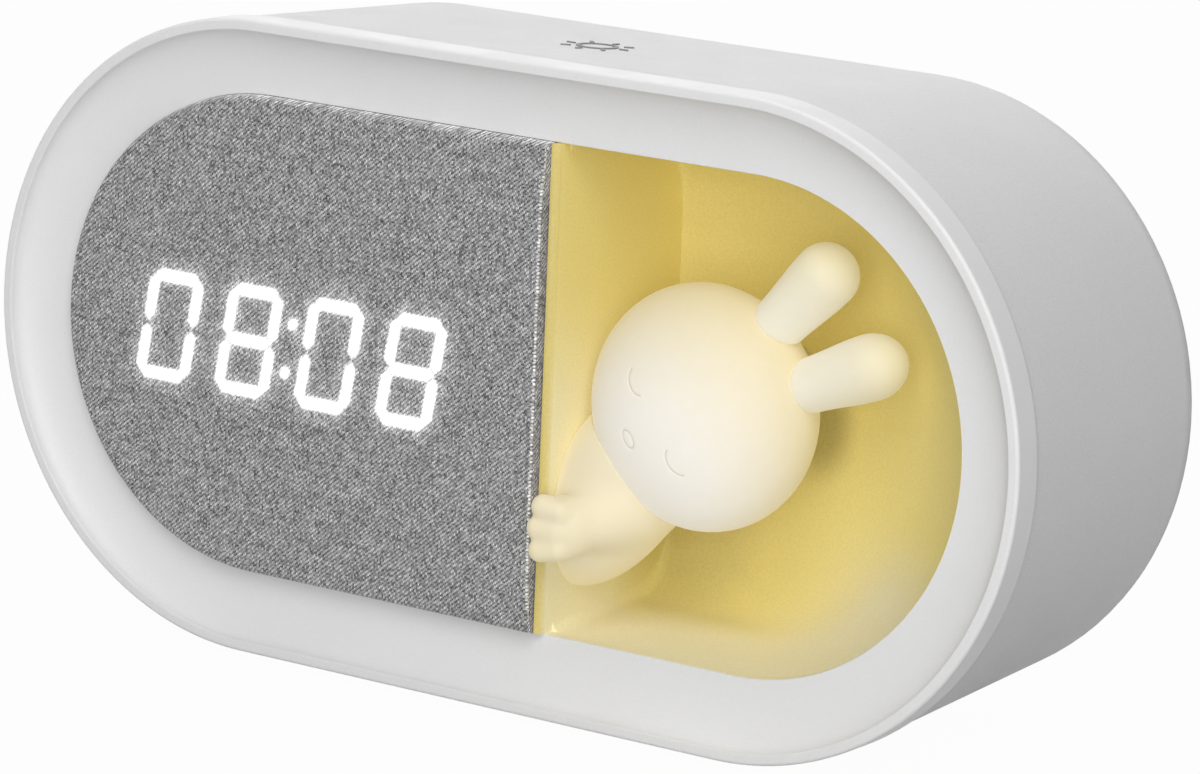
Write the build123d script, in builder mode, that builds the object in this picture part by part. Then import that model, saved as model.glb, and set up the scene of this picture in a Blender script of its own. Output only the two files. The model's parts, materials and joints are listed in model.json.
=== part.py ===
from build123d import *
from math import asin, cos, radians, sin, sqrt, tan
import os

# Bedside clock with a night light. Millimetres, +Z up, front faces -Y, origin at the bottom centre of the whole.
# A "depth" is measured back from the plane of the front rim, an "inset" inward from the case's outer outline.

# Case
case_width = 152.0
case_height = 80.0
case_depth = 47.0
foot_height = 0.8
rim_lip = 1.4
rim_round = 0.35
cove_width = 8.3
cove_depth = 3.5
flange_thickness = 1.6
skirt_depth = 4.4
seam_gap = 0.25
housing_step = 0.3
housing_wall = 2.2
housing_draft = 3.0
rear_wall = 2.4
rear_radius = 5.0
spigot_gap = 0.3
spigot_wall = 1.4
spigot_reach = 2.9

# Small gaps between still pieces, and between a moving piece and its guide
seat_gap = 0.1
fit_gap = 0.05
running_gap = 0.1

# Cloth panel
panel_split = 8.4
cloth_edge_step = 1.1
cloth_edge_shown = 1.5
cloth_proud = 2.5
cloth_thickness = 0.6
cloth_round = 0.45
cloth_return = 1.9
plate_thickness = 1.4
plate_rib = 1.6
seat_width = 1.6
seat_thickness = 1.6
tab_reach = 3.4
tab_width = 5.2
panel_tab_x = -30.0
niche_tab_x = 20.0

# Display
digit_height = 14.2
digit_width = 8.5
digit_stroke = 1.5
digit_pitch = 12.65
digit_count = 4
digit_lean = 10.0
digit_gap = 0.25
display_shift_x = -1.35
display_drop = 0.4
colon_radius = 0.7
colon_spread = 6.3
bar_length = 3.0
mask_length = 4.0
mask_border = 2.0
display_board_side = 0.6
display_board_border = 4.8
board_thickness = 1.2
display_screw_x = 20.0
display_led_width = 0.9
display_led_height = 0.6

# Niche
niche_depth = 29.5
niche_wall = 1.6
niche_radius = 64.2
niche_flat = 7.6
niche_draft = 3.5
niche_round = 8.0
niche_corner = 1.5
niche_lip_round = 0.9
niche_steps = 8

# Rabbit figure
head_radius = 15.1
head_half_depth = 10.1
head_wall = 1.6
head_from_wall = 16.7
head_depth = 11.5
head_drop = 0.6
ear_tilt = 34.5
ear_root_spread = 15.9
ear_spread = 12.0
ear_depth = 12.0
ear_sink = 3.0
ear_root_radius = 3.35
ear_radius = 4.0
ear_tip = 4.0
ear_clearance = 14.6
body_half_length = 15.0
body_half_width = 8.25
body_half_thickness = 7.25
body_from_wall = 5.2
body_depth = 11.1
body_drop = 11.85
body_tilt = 58.0
body_yaw = 4.0
arm_radius = 3.7
arm_half_length = 9.5
arm_reach = 5.0
arm_turn = 55.0
arm_rise = 25.0
wrist_set_back = 2.2
palm_radius = 4.0
palm_half_thickness = 2.3
palm_from_edge = 4.8
paw_drop = 15.9
toe_radius = 1.55
toe_pitch = 2.7
toe_setbacks = [0.5, 0.15, 0.7]
toe_clearance = 0.2

# Light inside the head
stem_radius = 5.9
stem_wall = 1.3
stem_grip = 5.0
stem_flange = 1.7
stem_flange_thickness = 1.0
pad_radius = 11.0
pad_proud = 1.9
light_led_width = 2.6
light_led_height = 0.8
light_led_circle = 2.4
light_led_count = 3
light_screw_circle = 9.2
link_width = 7.6
link_height = 2.5
link_rise = 5.6

# Buttons and alarm switch
recess_depth = 1.0
recess_margin = 3.5
button_radius = 3.5
button_pitch = 13.0
button_row_z = 19.5
button_proud = 0.7
button_travel = 0.6
button_round = 0.4
button_rim = 1.2
button_rim_thickness = 0.8
plunger_radius = 1.5
button_names = ["mode_button", "down_button", "up_button", "alarm_button", "light_button"]
lower_row_z = 4.5
slider_x = -18.0
slider_width = 3.4
slider_height = 3.0
slider_travel = 2.6
slider_proud = 0.6
slider_plate_thickness = 0.8
slider_plate_border = 1.4
lever_width = 1.6
lever_bite = 1.0
switch_width = 9.0
switch_height = 4.6
switch_length = 4.4

# Boards
board_gap = 7.0
main_board_thickness = 1.6
main_board_width = 72.0
main_board_height = 32.0
main_board_x = 5.0
main_board_z = 14.0
board_post_inset = 3.0
board_post_radius = 2.6
tact_width = 6.0
tact_height = 3.5
tact_stem_radius = 1.75
tact_stem = 1.5
usb_x = 6.0
usb_width = 8.94
usb_height = 3.26
usb_shell = 0.3
usb_tongue_width = 6.6
usb_tongue = 0.7
usb_tongue_setback = 0.8
usb_base = 1.4
usb_setback = 0.4
usb_clearance = 0.2
processor_width = 9.0
processor_height = 1.2
processor_x = -8.0
processor_z = 14.0
driver_length = 5.0
driver_width = 4.0
driver_height = 1.5
driver_x = 6.0
driver_z = 20.0
capacitor_radius = 2.5
capacitor_height = 6.0
capacitor_x = -20.0
capacitor_z = 20.0
ribbon_width = 10.0
ribbon_thickness = 0.3
ribbon_connector_width = 12.6
ribbon_connector_height = 3.6
ribbon_connector_length = 1.9
ribbon_x = -22.0
ribbon_z = 7.0

# Speaker
speaker_from_end = 26.0
speaker_z = 0.0
speaker_radius = 14.0
speaker_depth = 3.6
speaker_floor = 1.2
speaker_rim = 1.4
magnet_radius = 8.0
magnet_height = 2.0
collar_wall = 1.4
collar_height = 3.0
cone_thickness = 0.4
cone_sink = 1.2
cone_centre_radius = 4.0
grille_hole_radius = 0.8
grille_ring_pitch = 3.3
grille_rings = 3
grille_first_ring = 6

# Battery
battery_width = 52.0
battery_height = 24.0
battery_thickness = 8.0
battery_round = 2.0
battery_x = 14.0
battery_z = -18.0
tape_thickness = 1.0
tape_margin = 4.0

# Touch pad and its mark on top
touch_x = -0.5
touch_depth = 22.5
touch_width = 14.0
foil_start = 10.0
foil_length = 24.0
foil_thickness = 0.3
leaf_width = 5.0
leaf_foot = 5.0
leaf_forward = 3.0
mark_ring_radius = 2.4
mark_line = 0.5
mark_ray_start = 3.3
mark_ray_end = 4.6
mark_ray_count = 8
mark_height = 0.15

# Fasteners and feet
post_from_end = 30.0
post_z = 24.0
post_radius = 3.4
post_meet_depth = 26.0
housing_post_radius = 4.0
case_screw_radius = 1.15
case_screw_head_radius = 2.1
case_screw_head = 1.6
case_screw_bite = 7.0
case_screw_grip = 4.0
small_screw_radius = 0.85
small_screw_head_radius = 1.6
small_screw_head = 1.0
panel_screw_bite = 1.4
display_screw_bite = 2.0
light_screw_bite = 2.5
board_screw_bite = 4.5
drive_depth = 0.5
drive_width = 0.4
drive_share = 1.3
foot_radius = 5.0
foot_from_end = 48.0
foot_front_depth = 11.0
foot_rear_depth = 37.0
foot_pocket = 1.0
foot_round = 0.3

# Places worked out from the sizes above
half_run = (case_width - case_height) / 2
end_radius = case_height / 2
centre_z = foot_height + end_radius
speaker_x = speaker_from_end - case_width / 2
post_x = case_width / 2 - post_from_end
foot_x = case_width / 2 - foot_from_end
opening_inset = rim_lip + cove_width
flange_back = cove_depth + flange_thickness
spigot_inset = housing_step + housing_wall + spigot_gap
spigot_end = flange_back + spigot_reach
housing_front = skirt_depth + seam_gap
rear_inner = case_depth - rear_wall
cloth_face = cove_depth - cloth_proud
plate_front = cloth_face + cloth_thickness
plate_back = plate_front + plate_thickness
cloth_back = plate_back + cloth_thickness
cloth_inset = opening_inset + seat_gap
plate_inset = cloth_inset + cloth_thickness + fit_gap
cloth_right = panel_split - cloth_edge_step
plate_right = cloth_right - cloth_thickness - fit_gap
rib_inset = plate_inset + cloth_return + seat_gap
rib_right = plate_right - cloth_return - seat_gap
seat_front = flange_back + seat_gap
seat_back = seat_front + seat_thickness
seat_inset = opening_inset - seat_width
tab_inset = seat_inset - tab_reach / 2
tab_middle = tab_inset + seat_width / 2
paw_proud = 2 * toe_radius + toe_clearance - cloth_face
front_y = (paw_proud - case_depth) / 2
panel_left = opening_inset - case_width / 2
display_x = (panel_left + panel_split) / 2 + display_shift_x
display_z = -display_drop
mask_back = plate_front + mask_length
mask_width = (digit_count - 1) * digit_pitch + digit_width + digit_height * tan(radians(digit_lean)) + 2 * mask_border
mask_height = digit_height + 2 * mask_border
display_board_back = mask_back + board_thickness
display_screw_z = mask_height / 2 + display_board_border / 2
niche_half_height = end_radius - opening_inset
niche_reach = half_run + niche_half_height
niche_end_share = niche_half_height / (niche_reach - panel_split)
niche_floor_x = panel_split + niche_flat
niche_lip_front = cloth_face + cloth_edge_shown
niche_lip_width = cloth_edge_step - seat_gap
niche_lip_half = niche_half_height - seat_gap
niche_back = niche_depth + niche_wall
pad_back = niche_back + pad_proud
light_board_back = pad_back + board_thickness
head_x = panel_split + head_from_wall
head_back = head_depth + head_half_depth
lower_ear_x = head_x + head_radius * cos(radians(ear_tilt - ear_root_spread))
ear_length = (niche_reach - ear_clearance - lower_ear_x) / cos(radians(ear_tilt - ear_spread))
ear_widest = ear_length - ear_tip
board_back = rear_inner - board_gap
board_front = board_back - main_board_thickness
recess_floor = case_depth - recess_depth
tact_tip = board_back + tact_height + tact_stem
palm_x = panel_split + palm_from_edge
palm_depth = cloth_face - toe_clearance - toe_radius + palm_half_thickness - toe_radius / 2
cell_front = rear_inner - tape_thickness - battery_thickness


def facing(depth, x=0.0, z=0.0):
    """Plane across the case at a depth: local x to the right, local y up, normal to the front."""
    return Plane(origin=(x, front_y + depth, centre_z + z), x_dir=(1, 0, 0), z_dir=(0, -1, 0))


def side_view(x=0.0):
    """Upright plane along the case: local x is depth, local y is height above the case's middle."""
    return Plane(origin=(x, front_y, centre_z), x_dir=(0, 1, 0), z_dir=(1, 0, 0))


def depth_axis(x, z):
    """Line from front to back at a place on the case."""
    return Axis((x, front_y, centre_z + z), (0, 1, 0))


def housing_inset(depth):
    """Inset of the rear housing's outer skin, which tapers towards the back."""
    return housing_step + (depth - housing_front) * tan(radians(housing_draft))


def case_outline(inset):
    """The case's outline drawn in by an inset, added to the open sketch."""
    return SlotOverall(case_width - 2 * inset, case_height - 2 * inset)


def left_of(x):
    """Cuts the open sketch to what lies left of x."""
    width = case_width / 2 + x
    with Locations((x - width / 2, 0)):
        return Rectangle(width, case_height, mode=Mode.INTERSECT)


def back(length, mode=Mode.ADD):
    """Extrudes the open sketch towards the back."""
    return extrude(amount=-length, mode=mode)


def mirrored(x, z):
    """A place and its mirror image below the case's middle."""
    return [(x, z), (x, -z)]


def screw_set(places, seat, head_radius, head_height, shank_radius, grip, facing_back=True):
    """Pan-head screws at places on the case: shanks pass forward of the seat, heads behind it, or the reverse."""
    sign = 1 if facing_back else -1
    with BuildPart() as screws:
        with BuildSketch(facing(seat)):
            with Locations(*places):
                Circle(head_radius)
        extrude(amount=-sign * head_height)
        with BuildSketch(facing(seat)):
            with Locations(*places):
                Circle(shank_radius)
        extrude(amount=sign * grip)
        with BuildSketch(facing(seat + sign * head_height)):
            with Locations(*places):
                Rectangle(head_radius * drive_share, drive_width)
                Rectangle(drive_width, head_radius * drive_share)
        extrude(amount=sign * drive_depth, mode=Mode.SUBTRACT)
    return screws.part


def niche_form(grow):
    """The niche's hollow from the bezel back, or the same form grown all round by a wall."""
    rim_angle = asin((niche_reach - niche_floor_x) / niche_radius)
    rise = niche_depth - seat_front
    with BuildPart() as form:
        for step in range(niche_steps + 1):
            angle = rim_angle * (1 - step / niche_steps)
            share = 1 - (1 - cos(angle)) / (1 - cos(rim_angle))
            depth = seat_front + share * rise
            into_round = max(0.0, depth - (niche_depth - niche_round))
            rounding = niche_round - sqrt(niche_round**2 - into_round**2)
            half = niche_half_height - share * rise * tan(radians(niche_draft)) - rounding + grow
            reach = niche_floor_x + niche_radius * sin(angle)
            end = (reach - panel_split) * niche_end_share + grow
            start = reach + grow - end
            left = panel_split - grow
            corner = niche_corner + grow
            with BuildSketch(facing(seat_front + share * (rise + grow))):
                with BuildLine():
                    Line((left + corner, half), (start, half))
                    EllipticalCenterArc((start, 0), end, half, start_angle=-90, arc_size=180)
                    Line((start, -half), (left + corner, -half))
                    CenterArc((left + corner, corner - half), corner, 180, 90)
                    Line((left, corner - half), (left, half - corner))
                    CenterArc((left + corner, half - corner), corner, 90, 90)
                make_face()
        loft()
    return form.part


def ellipsoid(place, half_x, half_y, half_z):
    """Ellipsoid with its half-sizes along the axes of a plane, centred on the plane's origin."""
    with BuildPart() as ball:
        Sphere(1)
        scale(by=(half_x, half_y, half_z))
    with BuildPart() as form:
        with Locations(place.location):
            add(ball.part)
    return form.part


def head_form(shrink):
    """The head's flattened ball, or the hollow inside its wall."""
    place = Plane(origin=(head_x, front_y + head_depth, centre_z - head_drop))
    return ellipsoid(place, head_radius - shrink, head_half_depth - shrink, head_radius - shrink)


def body_form():
    """The lying body, steeper than the ears and with its far end a little deeper."""
    tilt, yaw = radians(body_tilt), radians(body_yaw)
    along = Vector(cos(tilt) * cos(yaw), sin(yaw), sin(tilt) * cos(yaw))
    across = Vector(sin(tilt), 0, -cos(tilt))
    middle = (panel_split + body_from_wall, front_y + body_depth, centre_z - body_drop)
    place = Plane(origin=middle, x_dir=along, z_dir=along.cross(across))
    return ellipsoid(place, body_half_length, body_half_width, body_half_thickness)


os.makedirs("parts", exist_ok=True)

# White front frame: rim lip, hollow cove, skirt and the spigot that centres the rear housing
tab_places_panel = mirrored(panel_tab_x, end_radius - tab_inset) + [(tab_inset - case_width / 2, 0)]
tab_places_niche = mirrored(niche_tab_x, end_radius - tab_inset) + [(case_width / 2 - tab_inset, 0)]
with BuildPart() as front_bezel:
    with BuildLine(facing(0)):
        Line((-half_run, end_radius), (half_run, end_radius))
        CenterArc((half_run, 0), end_radius, 90, -180)
        Line((half_run, -end_radius), (-half_run, -end_radius))
        CenterArc((-half_run, 0), end_radius, 270, -180)
    section_plane = Plane(origin=(-half_run, front_y, centre_z + end_radius), x_dir=(0, 0, -1), z_dir=(1, 0, 0))
    with BuildSketch(section_plane):
        with BuildLine():
            Polyline(
                (opening_inset, cove_depth),
                (opening_inset, flange_back),
                (spigot_inset + spigot_wall, flange_back),
                (spigot_inset + spigot_wall, spigot_end),
                (spigot_inset, spigot_end),
                (spigot_inset, skirt_depth),
                (0, skirt_depth),
                (0, rim_round),
                (rim_round, 0),
                (rim_lip, 0),
            )
            EllipticalCenterArc((opening_inset, 0), cove_width, cove_depth, start_angle=90, arc_size=90)
        make_face()
    sweep()
    with BuildSketch(facing(flange_back)):
        with Locations(*tab_places_panel, *tab_places_niche):
            Circle(small_screw_radius + fit_gap)
    extrude(amount=panel_screw_bite + fit_gap, mode=Mode.SUBTRACT)
front_bezel.part.label = "front_bezel"
export_step(front_bezel.part, "parts/front_bezel.step")

# Rear housing: tapering tub with its recesses, holes, posts and pockets
post_places = mirrored(-post_x, post_z) + mirrored(post_x, post_z)
button_places = [((i - (len(button_names) - 1) / 2) * button_pitch, button_row_z) for i in range(len(button_names))]
board_post_x = main_board_width / 2 - board_post_inset
board_post_z = main_board_height / 2 - board_post_inset
board_post_places = [
    (main_board_x + x, main_board_z + z)
    for x in (-board_post_x, board_post_x)
    for z in (-board_post_z, board_post_z)
]
foot_places = [(x, depth) for x in (-foot_x, foot_x) for depth in (foot_front_depth, foot_rear_depth)]
with BuildPart() as rear_housing:
    with BuildSketch(facing(housing_front)):
        case_outline(housing_inset(housing_front))
    with BuildSketch(facing(case_depth)):
        case_outline(housing_inset(case_depth))
    loft()
    fillet(rear_housing.faces().sort_by(Axis.Y)[-1].edges(), rear_radius)
    with BuildSketch(facing(housing_front)):
        case_outline(housing_inset(housing_front) + housing_wall)
    with BuildSketch(facing(rear_inner)):
        case_outline(housing_inset(rear_inner) + housing_wall)
    loft(mode=Mode.SUBTRACT)
    with BuildSketch(facing(post_meet_depth + seat_gap)):
        with Locations(*post_places):
            Circle(housing_post_radius)
    back(rear_inner - post_meet_depth)
    with BuildSketch(facing(board_back)):
        with Locations(*board_post_places):
            Circle(board_post_radius)
    back(board_gap + seat_gap)
    with BuildSketch(facing(rear_inner - collar_height)):
        with Locations((speaker_x, speaker_z)):
            Circle(speaker_radius + seat_gap + collar_wall)
            Circle(speaker_radius + seat_gap, mode=Mode.SUBTRACT)
    back(collar_height + seat_gap)
    with BuildSketch(facing(recess_floor)):
        with Locations((0, button_row_z)):
            SlotOverall(
                button_places[-1][0] - button_places[0][0] + 2 * (button_radius + recess_margin),
                2 * (button_radius + recess_margin),
            )
        with Locations(((slider_x + usb_x) / 2, lower_row_z)):
            SlotOverall(usb_x - slider_x + usb_width + 2 * recess_margin, usb_width)
    back(recess_depth, Mode.SUBTRACT)
    with BuildSketch(facing(rear_inner)):
        with Locations(*button_places):
            Circle(button_radius + running_gap)
        with Locations((slider_x, lower_row_z)):
            Rectangle(slider_width + slider_travel + 2 * running_gap, slider_height + 2 * running_gap)
        with Locations((usb_x, lower_row_z)):
            SlotOverall(usb_width + 2 * usb_clearance, usb_height + 2 * usb_clearance)
        with Locations((speaker_x, speaker_z)):
            Circle(grille_hole_radius)
            for ring in range(1, grille_rings + 1):
                with PolarLocations(ring * grille_ring_pitch, ring * grille_first_ring):
                    Circle(grille_hole_radius)
    back(rear_wall, Mode.SUBTRACT)
    with BuildSketch(facing(post_meet_depth)):
        with Locations(*post_places):
            Circle(case_screw_radius + fit_gap)
    back(case_depth - post_meet_depth, Mode.SUBTRACT)
    with BuildSketch(facing(post_meet_depth + case_screw_grip)):
        with Locations(*post_places):
            Circle(case_screw_head_radius + fit_gap)
    back(case_depth - post_meet_depth - case_screw_grip, Mode.SUBTRACT)
    with BuildSketch(facing(board_back)):
        with Locations(*board_post_places):
            Circle(small_screw_radius + fit_gap)
    back(board_screw_bite + fit_gap, Mode.SUBTRACT)
    for x, depth in foot_places:
        with BuildSketch(Plane.XY):
            with Locations((x, front_y + depth)):
                Circle(foot_radius + fit_gap)
        extrude(amount=foot_height + housing_inset(depth) + foot_pocket, mode=Mode.SUBTRACT)
rear_housing.part.label = "rear_housing"
export_step(rear_housing.part, "parts/rear_housing.step")

# Cloth wrapped over the panel's plate, with a turned-in edge behind it
with BuildPart() as fabric_cover:
    with BuildSketch(facing(cloth_face)):
        case_outline(cloth_inset)
        left_of(cloth_right)
    back(cloth_back - cloth_face)
    fillet(fabric_cover.faces().sort_by(Axis.Y)[0].edges(), cloth_round)
    with BuildSketch(facing(plate_front)):
        case_outline(plate_inset)
        left_of(plate_right)
    back(plate_thickness, Mode.SUBTRACT)
    with BuildSketch(facing(plate_back)):
        case_outline(plate_inset + cloth_return)
        left_of(plate_right - cloth_return)
    back(cloth_thickness, Mode.SUBTRACT)
fabric_cover.part.label = "fabric_cover"
export_step(fabric_cover.part, "parts/fabric_cover.step")

# Display carrier: the plate under the cloth, a rib and a seat on the bezel, tabs and screw posts
display_screw_places = [
    (display_x + x, display_z + z)
    for x in (-display_screw_x, display_screw_x)
    for z in (-display_screw_z, display_screw_z)
]
with BuildPart() as display_carrier:
    with BuildSketch(facing(plate_front)):
        case_outline(plate_inset)
        left_of(plate_right)
    back(plate_thickness)
    with BuildSketch(facing(plate_back)):
        case_outline(rib_inset)
        left_of(rib_right)
    back(seat_back - plate_back)
    with BuildSketch(facing(seat_front)):
        case_outline(seat_inset)
        left_of(rib_right)
        with Locations(*mirrored(panel_tab_x, end_radius - tab_middle)):
            Rectangle(tab_width, tab_reach + seat_width)
        with Locations((tab_middle - case_width / 2, 0)):
            Rectangle(tab_reach + seat_width, tab_width)
    back(seat_thickness)
    with BuildSketch(facing(seat_front)):
        with Locations(*mirrored(-post_x, post_z)):
            Circle(post_radius)
    back(post_meet_depth - seat_front)
    with BuildSketch(facing(plate_back)):
        case_outline(rib_inset + plate_rib)
        left_of(rib_right - plate_rib)
        with Locations(*mirrored(-post_x, post_z)):
            Circle(post_radius, mode=Mode.SUBTRACT)
    back(seat_back - plate_back, Mode.SUBTRACT)
    with BuildSketch(facing(plate_back)):
        with Locations(*display_screw_places):
            Circle(display_board_border / 2 - fit_gap)
    back(mask_back - plate_back)
    with BuildSketch(facing(plate_front)):
        with Locations((display_x, display_z)):
            Rectangle(mask_width + 2 * fit_gap, mask_height + 2 * fit_gap)
    back(mask_length, Mode.SUBTRACT)
    with BuildSketch(facing(mask_back)):
        with Locations(*display_screw_places):
            Circle(small_screw_radius + fit_gap)
    extrude(amount=display_screw_bite + fit_gap, mode=Mode.SUBTRACT)
    with BuildSketch(facing(seat_front)):
        with Locations(*tab_places_panel):
            Circle(small_screw_radius + fit_gap)
    back(seat_thickness, Mode.SUBTRACT)
    with BuildSketch(facing(post_meet_depth)):
        with Locations(*mirrored(-post_x, post_z)):
            Circle(case_screw_radius + fit_gap)
    extrude(amount=case_screw_bite + fit_gap, mode=Mode.SUBTRACT)
display_carrier.part.label = "display_carrier"
export_step(display_carrier.part, "parts/display_carrier.step")

# Seven-bar digits that lean to the right: six-sided bars, and round bars for the colon
lean = tan(radians(digit_lean))
bar_x = (digit_width - digit_stroke) / 2
bar_z = (digit_height - digit_stroke) / 2
digit_centres = [display_x + (i - (digit_count - 1) / 2) * digit_pitch for i in range(digit_count)]
bar_centres = [(0, bar_z, True), (0, 0, True), (0, -bar_z, True)]
bar_centres += [(x, z, False) for x in (-bar_x, bar_x) for z in (-bar_z / 2, bar_z / 2)]


def bar_outline(centre, x, z, lying, grow):
    """Corners of one bar, leaned over, in the display's place."""
    length = (bar_x if lying else bar_z / 2) - digit_gap + grow
    width = digit_stroke / 2 + grow
    shoulder = length - width
    corners = [(-length, 0), (-shoulder, width), (shoulder, width), (length, 0), (shoulder, -width), (-shoulder, -width)]
    points = []
    for along, across in corners:
        px, pz = (x + along, z + across) if lying else (x + across, z + along)
        points.append((centre + px + pz * lean, display_z + pz))
    return points


def draw_bars(grow):
    """All digit bars and both colon dots, added to the open sketch."""
    for centre in digit_centres:
        for x, z, lying in bar_centres:
            Polygon(*bar_outline(centre, x, z, lying, grow), align=None)
    for z in (-colon_spread / 2, colon_spread / 2):
        with Locations((display_x + z * lean, display_z + z)):
            Circle(colon_radius + grow)


with BuildPart() as digit_bars:
    with BuildSketch(facing(plate_front)):
        draw_bars(0)
    back(bar_length)
digit_bars.part.label = "digit_bars"
export_step(digit_bars.part, "parts/digit_bars.step")

# Dark block that keeps the bars' light apart
with BuildPart() as digit_mask:
    with BuildSketch(facing(plate_front)):
        with Locations((display_x, display_z)):
            Rectangle(mask_width, mask_height)
    back(mask_length)
    with BuildSketch(facing(plate_front)):
        draw_bars(fit_gap)
    back(mask_length, Mode.SUBTRACT)
digit_mask.part.label = "digit_mask"
export_step(digit_mask.part, "parts/digit_mask.step")

# Display board, its lights and its screws
with BuildPart() as display_board:
    with BuildSketch(facing(mask_back)):
        with Locations((display_x, display_z)):
            Rectangle(mask_width + 2 * display_board_side, mask_height + 2 * display_board_border)
        with Locations(*display_screw_places):
            Circle(small_screw_radius + fit_gap, mode=Mode.SUBTRACT)
    back(board_thickness)
display_board.part.label = "display_board"
export_step(display_board.part, "parts/display_board.step")

with BuildPart() as display_leds:
    with BuildSketch(facing(mask_back)):
        for centre in digit_centres:
            for x, z, _ in bar_centres:
                with Locations((centre + x + z * lean, display_z + z)):
                    Rectangle(display_led_width, display_led_width)
        for z in (-colon_spread / 2, colon_spread / 2):
            with Locations((display_x + z * lean, display_z + z)):
                Rectangle(display_led_width, display_led_width)
    extrude(amount=display_led_height)
display_leds.part.label = "display_leds"
export_step(display_leds.part, "parts/display_leds.step")

# Yellow niche: hollow form with its left wall brought forward, tabs, screw posts and a pad for the light
niche_hollow = niche_form(0)
niche_outside = niche_form(niche_wall)
light_screw_places = [(head_x, -head_drop - light_screw_circle), (head_x, -head_drop + light_screw_circle)]
with BuildPart() as niche_liner:
    add(niche_outside)
    with BuildSketch(facing(seat_front)):
        with Locations(*mirrored(niche_tab_x, end_radius - tab_middle)):
            Rectangle(tab_width, tab_reach + seat_width)
        with Locations((case_width / 2 - tab_middle, 0)):
            Rectangle(tab_reach + seat_width, tab_width)
    back(seat_thickness)
    with BuildSketch(facing(seat_back)):
        with Locations(*mirrored(post_x, post_z)):
            Circle(post_radius)
    back(post_meet_depth - seat_back)
    with BuildSketch(facing(niche_depth - niche_round)):
        with Locations((head_x, -head_drop)):
            Circle(pad_radius)
    back(pad_back - niche_depth + niche_round)
    add(niche_hollow, mode=Mode.SUBTRACT)
    with BuildSketch(facing(cloth_back + seat_gap)):
        with Locations((panel_split - niche_wall / 2, 0)):
            Rectangle(niche_wall, 2 * niche_lip_half)
    back(seat_front - cloth_back)
    with BuildSketch(Plane.XY.offset(centre_z - niche_lip_half)) as lip:
        with Locations((panel_split - niche_lip_width / 2, front_y + (niche_lip_front + seat_front) / 2)):
            Rectangle(niche_lip_width, seat_front - niche_lip_front)
        fillet(lip.vertices().group_by(Axis.Y)[0].sort_by(Axis.X)[-1], niche_lip_round)
    extrude(amount=2 * niche_lip_half)
    with BuildSketch(facing(niche_depth - niche_round)):
        with Locations((head_x, -head_drop)):
            Circle(stem_radius + fit_gap)
    back(pad_back - niche_depth + niche_round, Mode.SUBTRACT)
    with BuildSketch(facing(pad_back)):
        with Locations((head_x, -head_drop)):
            Circle(stem_radius + stem_flange + fit_gap)
    extrude(amount=stem_flange_thickness, mode=Mode.SUBTRACT)
    with BuildSketch(facing(pad_back)):
        with Locations(*light_screw_places):
            Circle(small_screw_radius + fit_gap)
    extrude(amount=light_screw_bite + fit_gap, mode=Mode.SUBTRACT)
    with BuildSketch(facing(seat_front)):
        with Locations(*tab_places_niche):
            Circle(small_screw_radius + fit_gap)
    back(seat_thickness, Mode.SUBTRACT)
    with BuildSketch(facing(post_meet_depth)):
        with Locations(*mirrored(post_x, post_z)):
            Circle(case_screw_radius + fit_gap)
    extrude(amount=case_screw_bite + fit_gap, mode=Mode.SUBTRACT)
niche_liner.part.label = "niche_liner"
export_step(niche_liner.part, "parts/niche_liner.step")

# Hollow glowing head, open at the back for the light stem
head_solid = head_form(0)
with BuildPart() as rabbit_head:
    add(head_solid)
    add(head_form(head_wall), mode=Mode.SUBTRACT)
    with BuildSketch(facing(head_depth)):
        with Locations((head_x, -head_drop)):
            Circle(stem_radius + fit_gap)
    back(head_half_depth, Mode.SUBTRACT)
rabbit_head.part.label = "rabbit_head"
export_step(rabbit_head.part, "parts/rabbit_head.step")

# Ears: round bars that widen to a rounded tip, sunk into the head and less spread than their roots
for ear_name, side in (("rabbit_ear_upper", 1), ("rabbit_ear_lower", -1)):
    root_turn = radians(ear_tilt + side * ear_root_spread)
    turn = radians(ear_tilt + side * ear_spread)
    ear_way = Vector(cos(turn), 0, sin(turn))
    ear_place = Vector(
        head_x + head_radius * cos(root_turn),
        front_y + ear_depth,
        centre_z - head_drop + head_radius * sin(root_turn),
    )
    with BuildPart() as ear:
        with BuildSketch(Plane(origin=ear_place, x_dir=ear_way, z_dir=(0, -1, 0))):
            with BuildLine():
                Polyline((-ear_sink, 0), (-ear_sink, ear_root_radius), (0, ear_root_radius))
                Spline(
                    (0, ear_root_radius),
                    (ear_widest, ear_radius),
                    tangents=((1, 0), (1, 0)),
                )
                EllipticalCenterArc((ear_widest, 0), ear_tip, ear_radius, start_angle=0, arc_size=90)
                Line((ear_length, 0), (-ear_sink, 0))
            make_face()
        revolve(axis=Axis(ear_place, ear_way))
        add(head_solid, mode=Mode.SUBTRACT)
    ear.part.label = ear_name
    export_step(ear.part, f"parts/{ear_name}.step")

# Lying body: cut flat where it meets the niche's left wall, hollowed where the head sits
body_solid = body_form()
with BuildPart() as rabbit_body:
    add(body_solid)
    with BuildSketch(Plane(origin=(panel_split, front_y, centre_z), x_dir=(0, 1, 0), z_dir=(-1, 0, 0))):
        Rectangle(2 * case_depth, 2 * case_height)
    extrude(amount=body_half_length, mode=Mode.SUBTRACT)
    add(head_solid, mode=Mode.SUBTRACT)
rabbit_body.part.label = "rabbit_body"
export_step(rabbit_body.part, "parts/rabbit_body.step")

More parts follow.
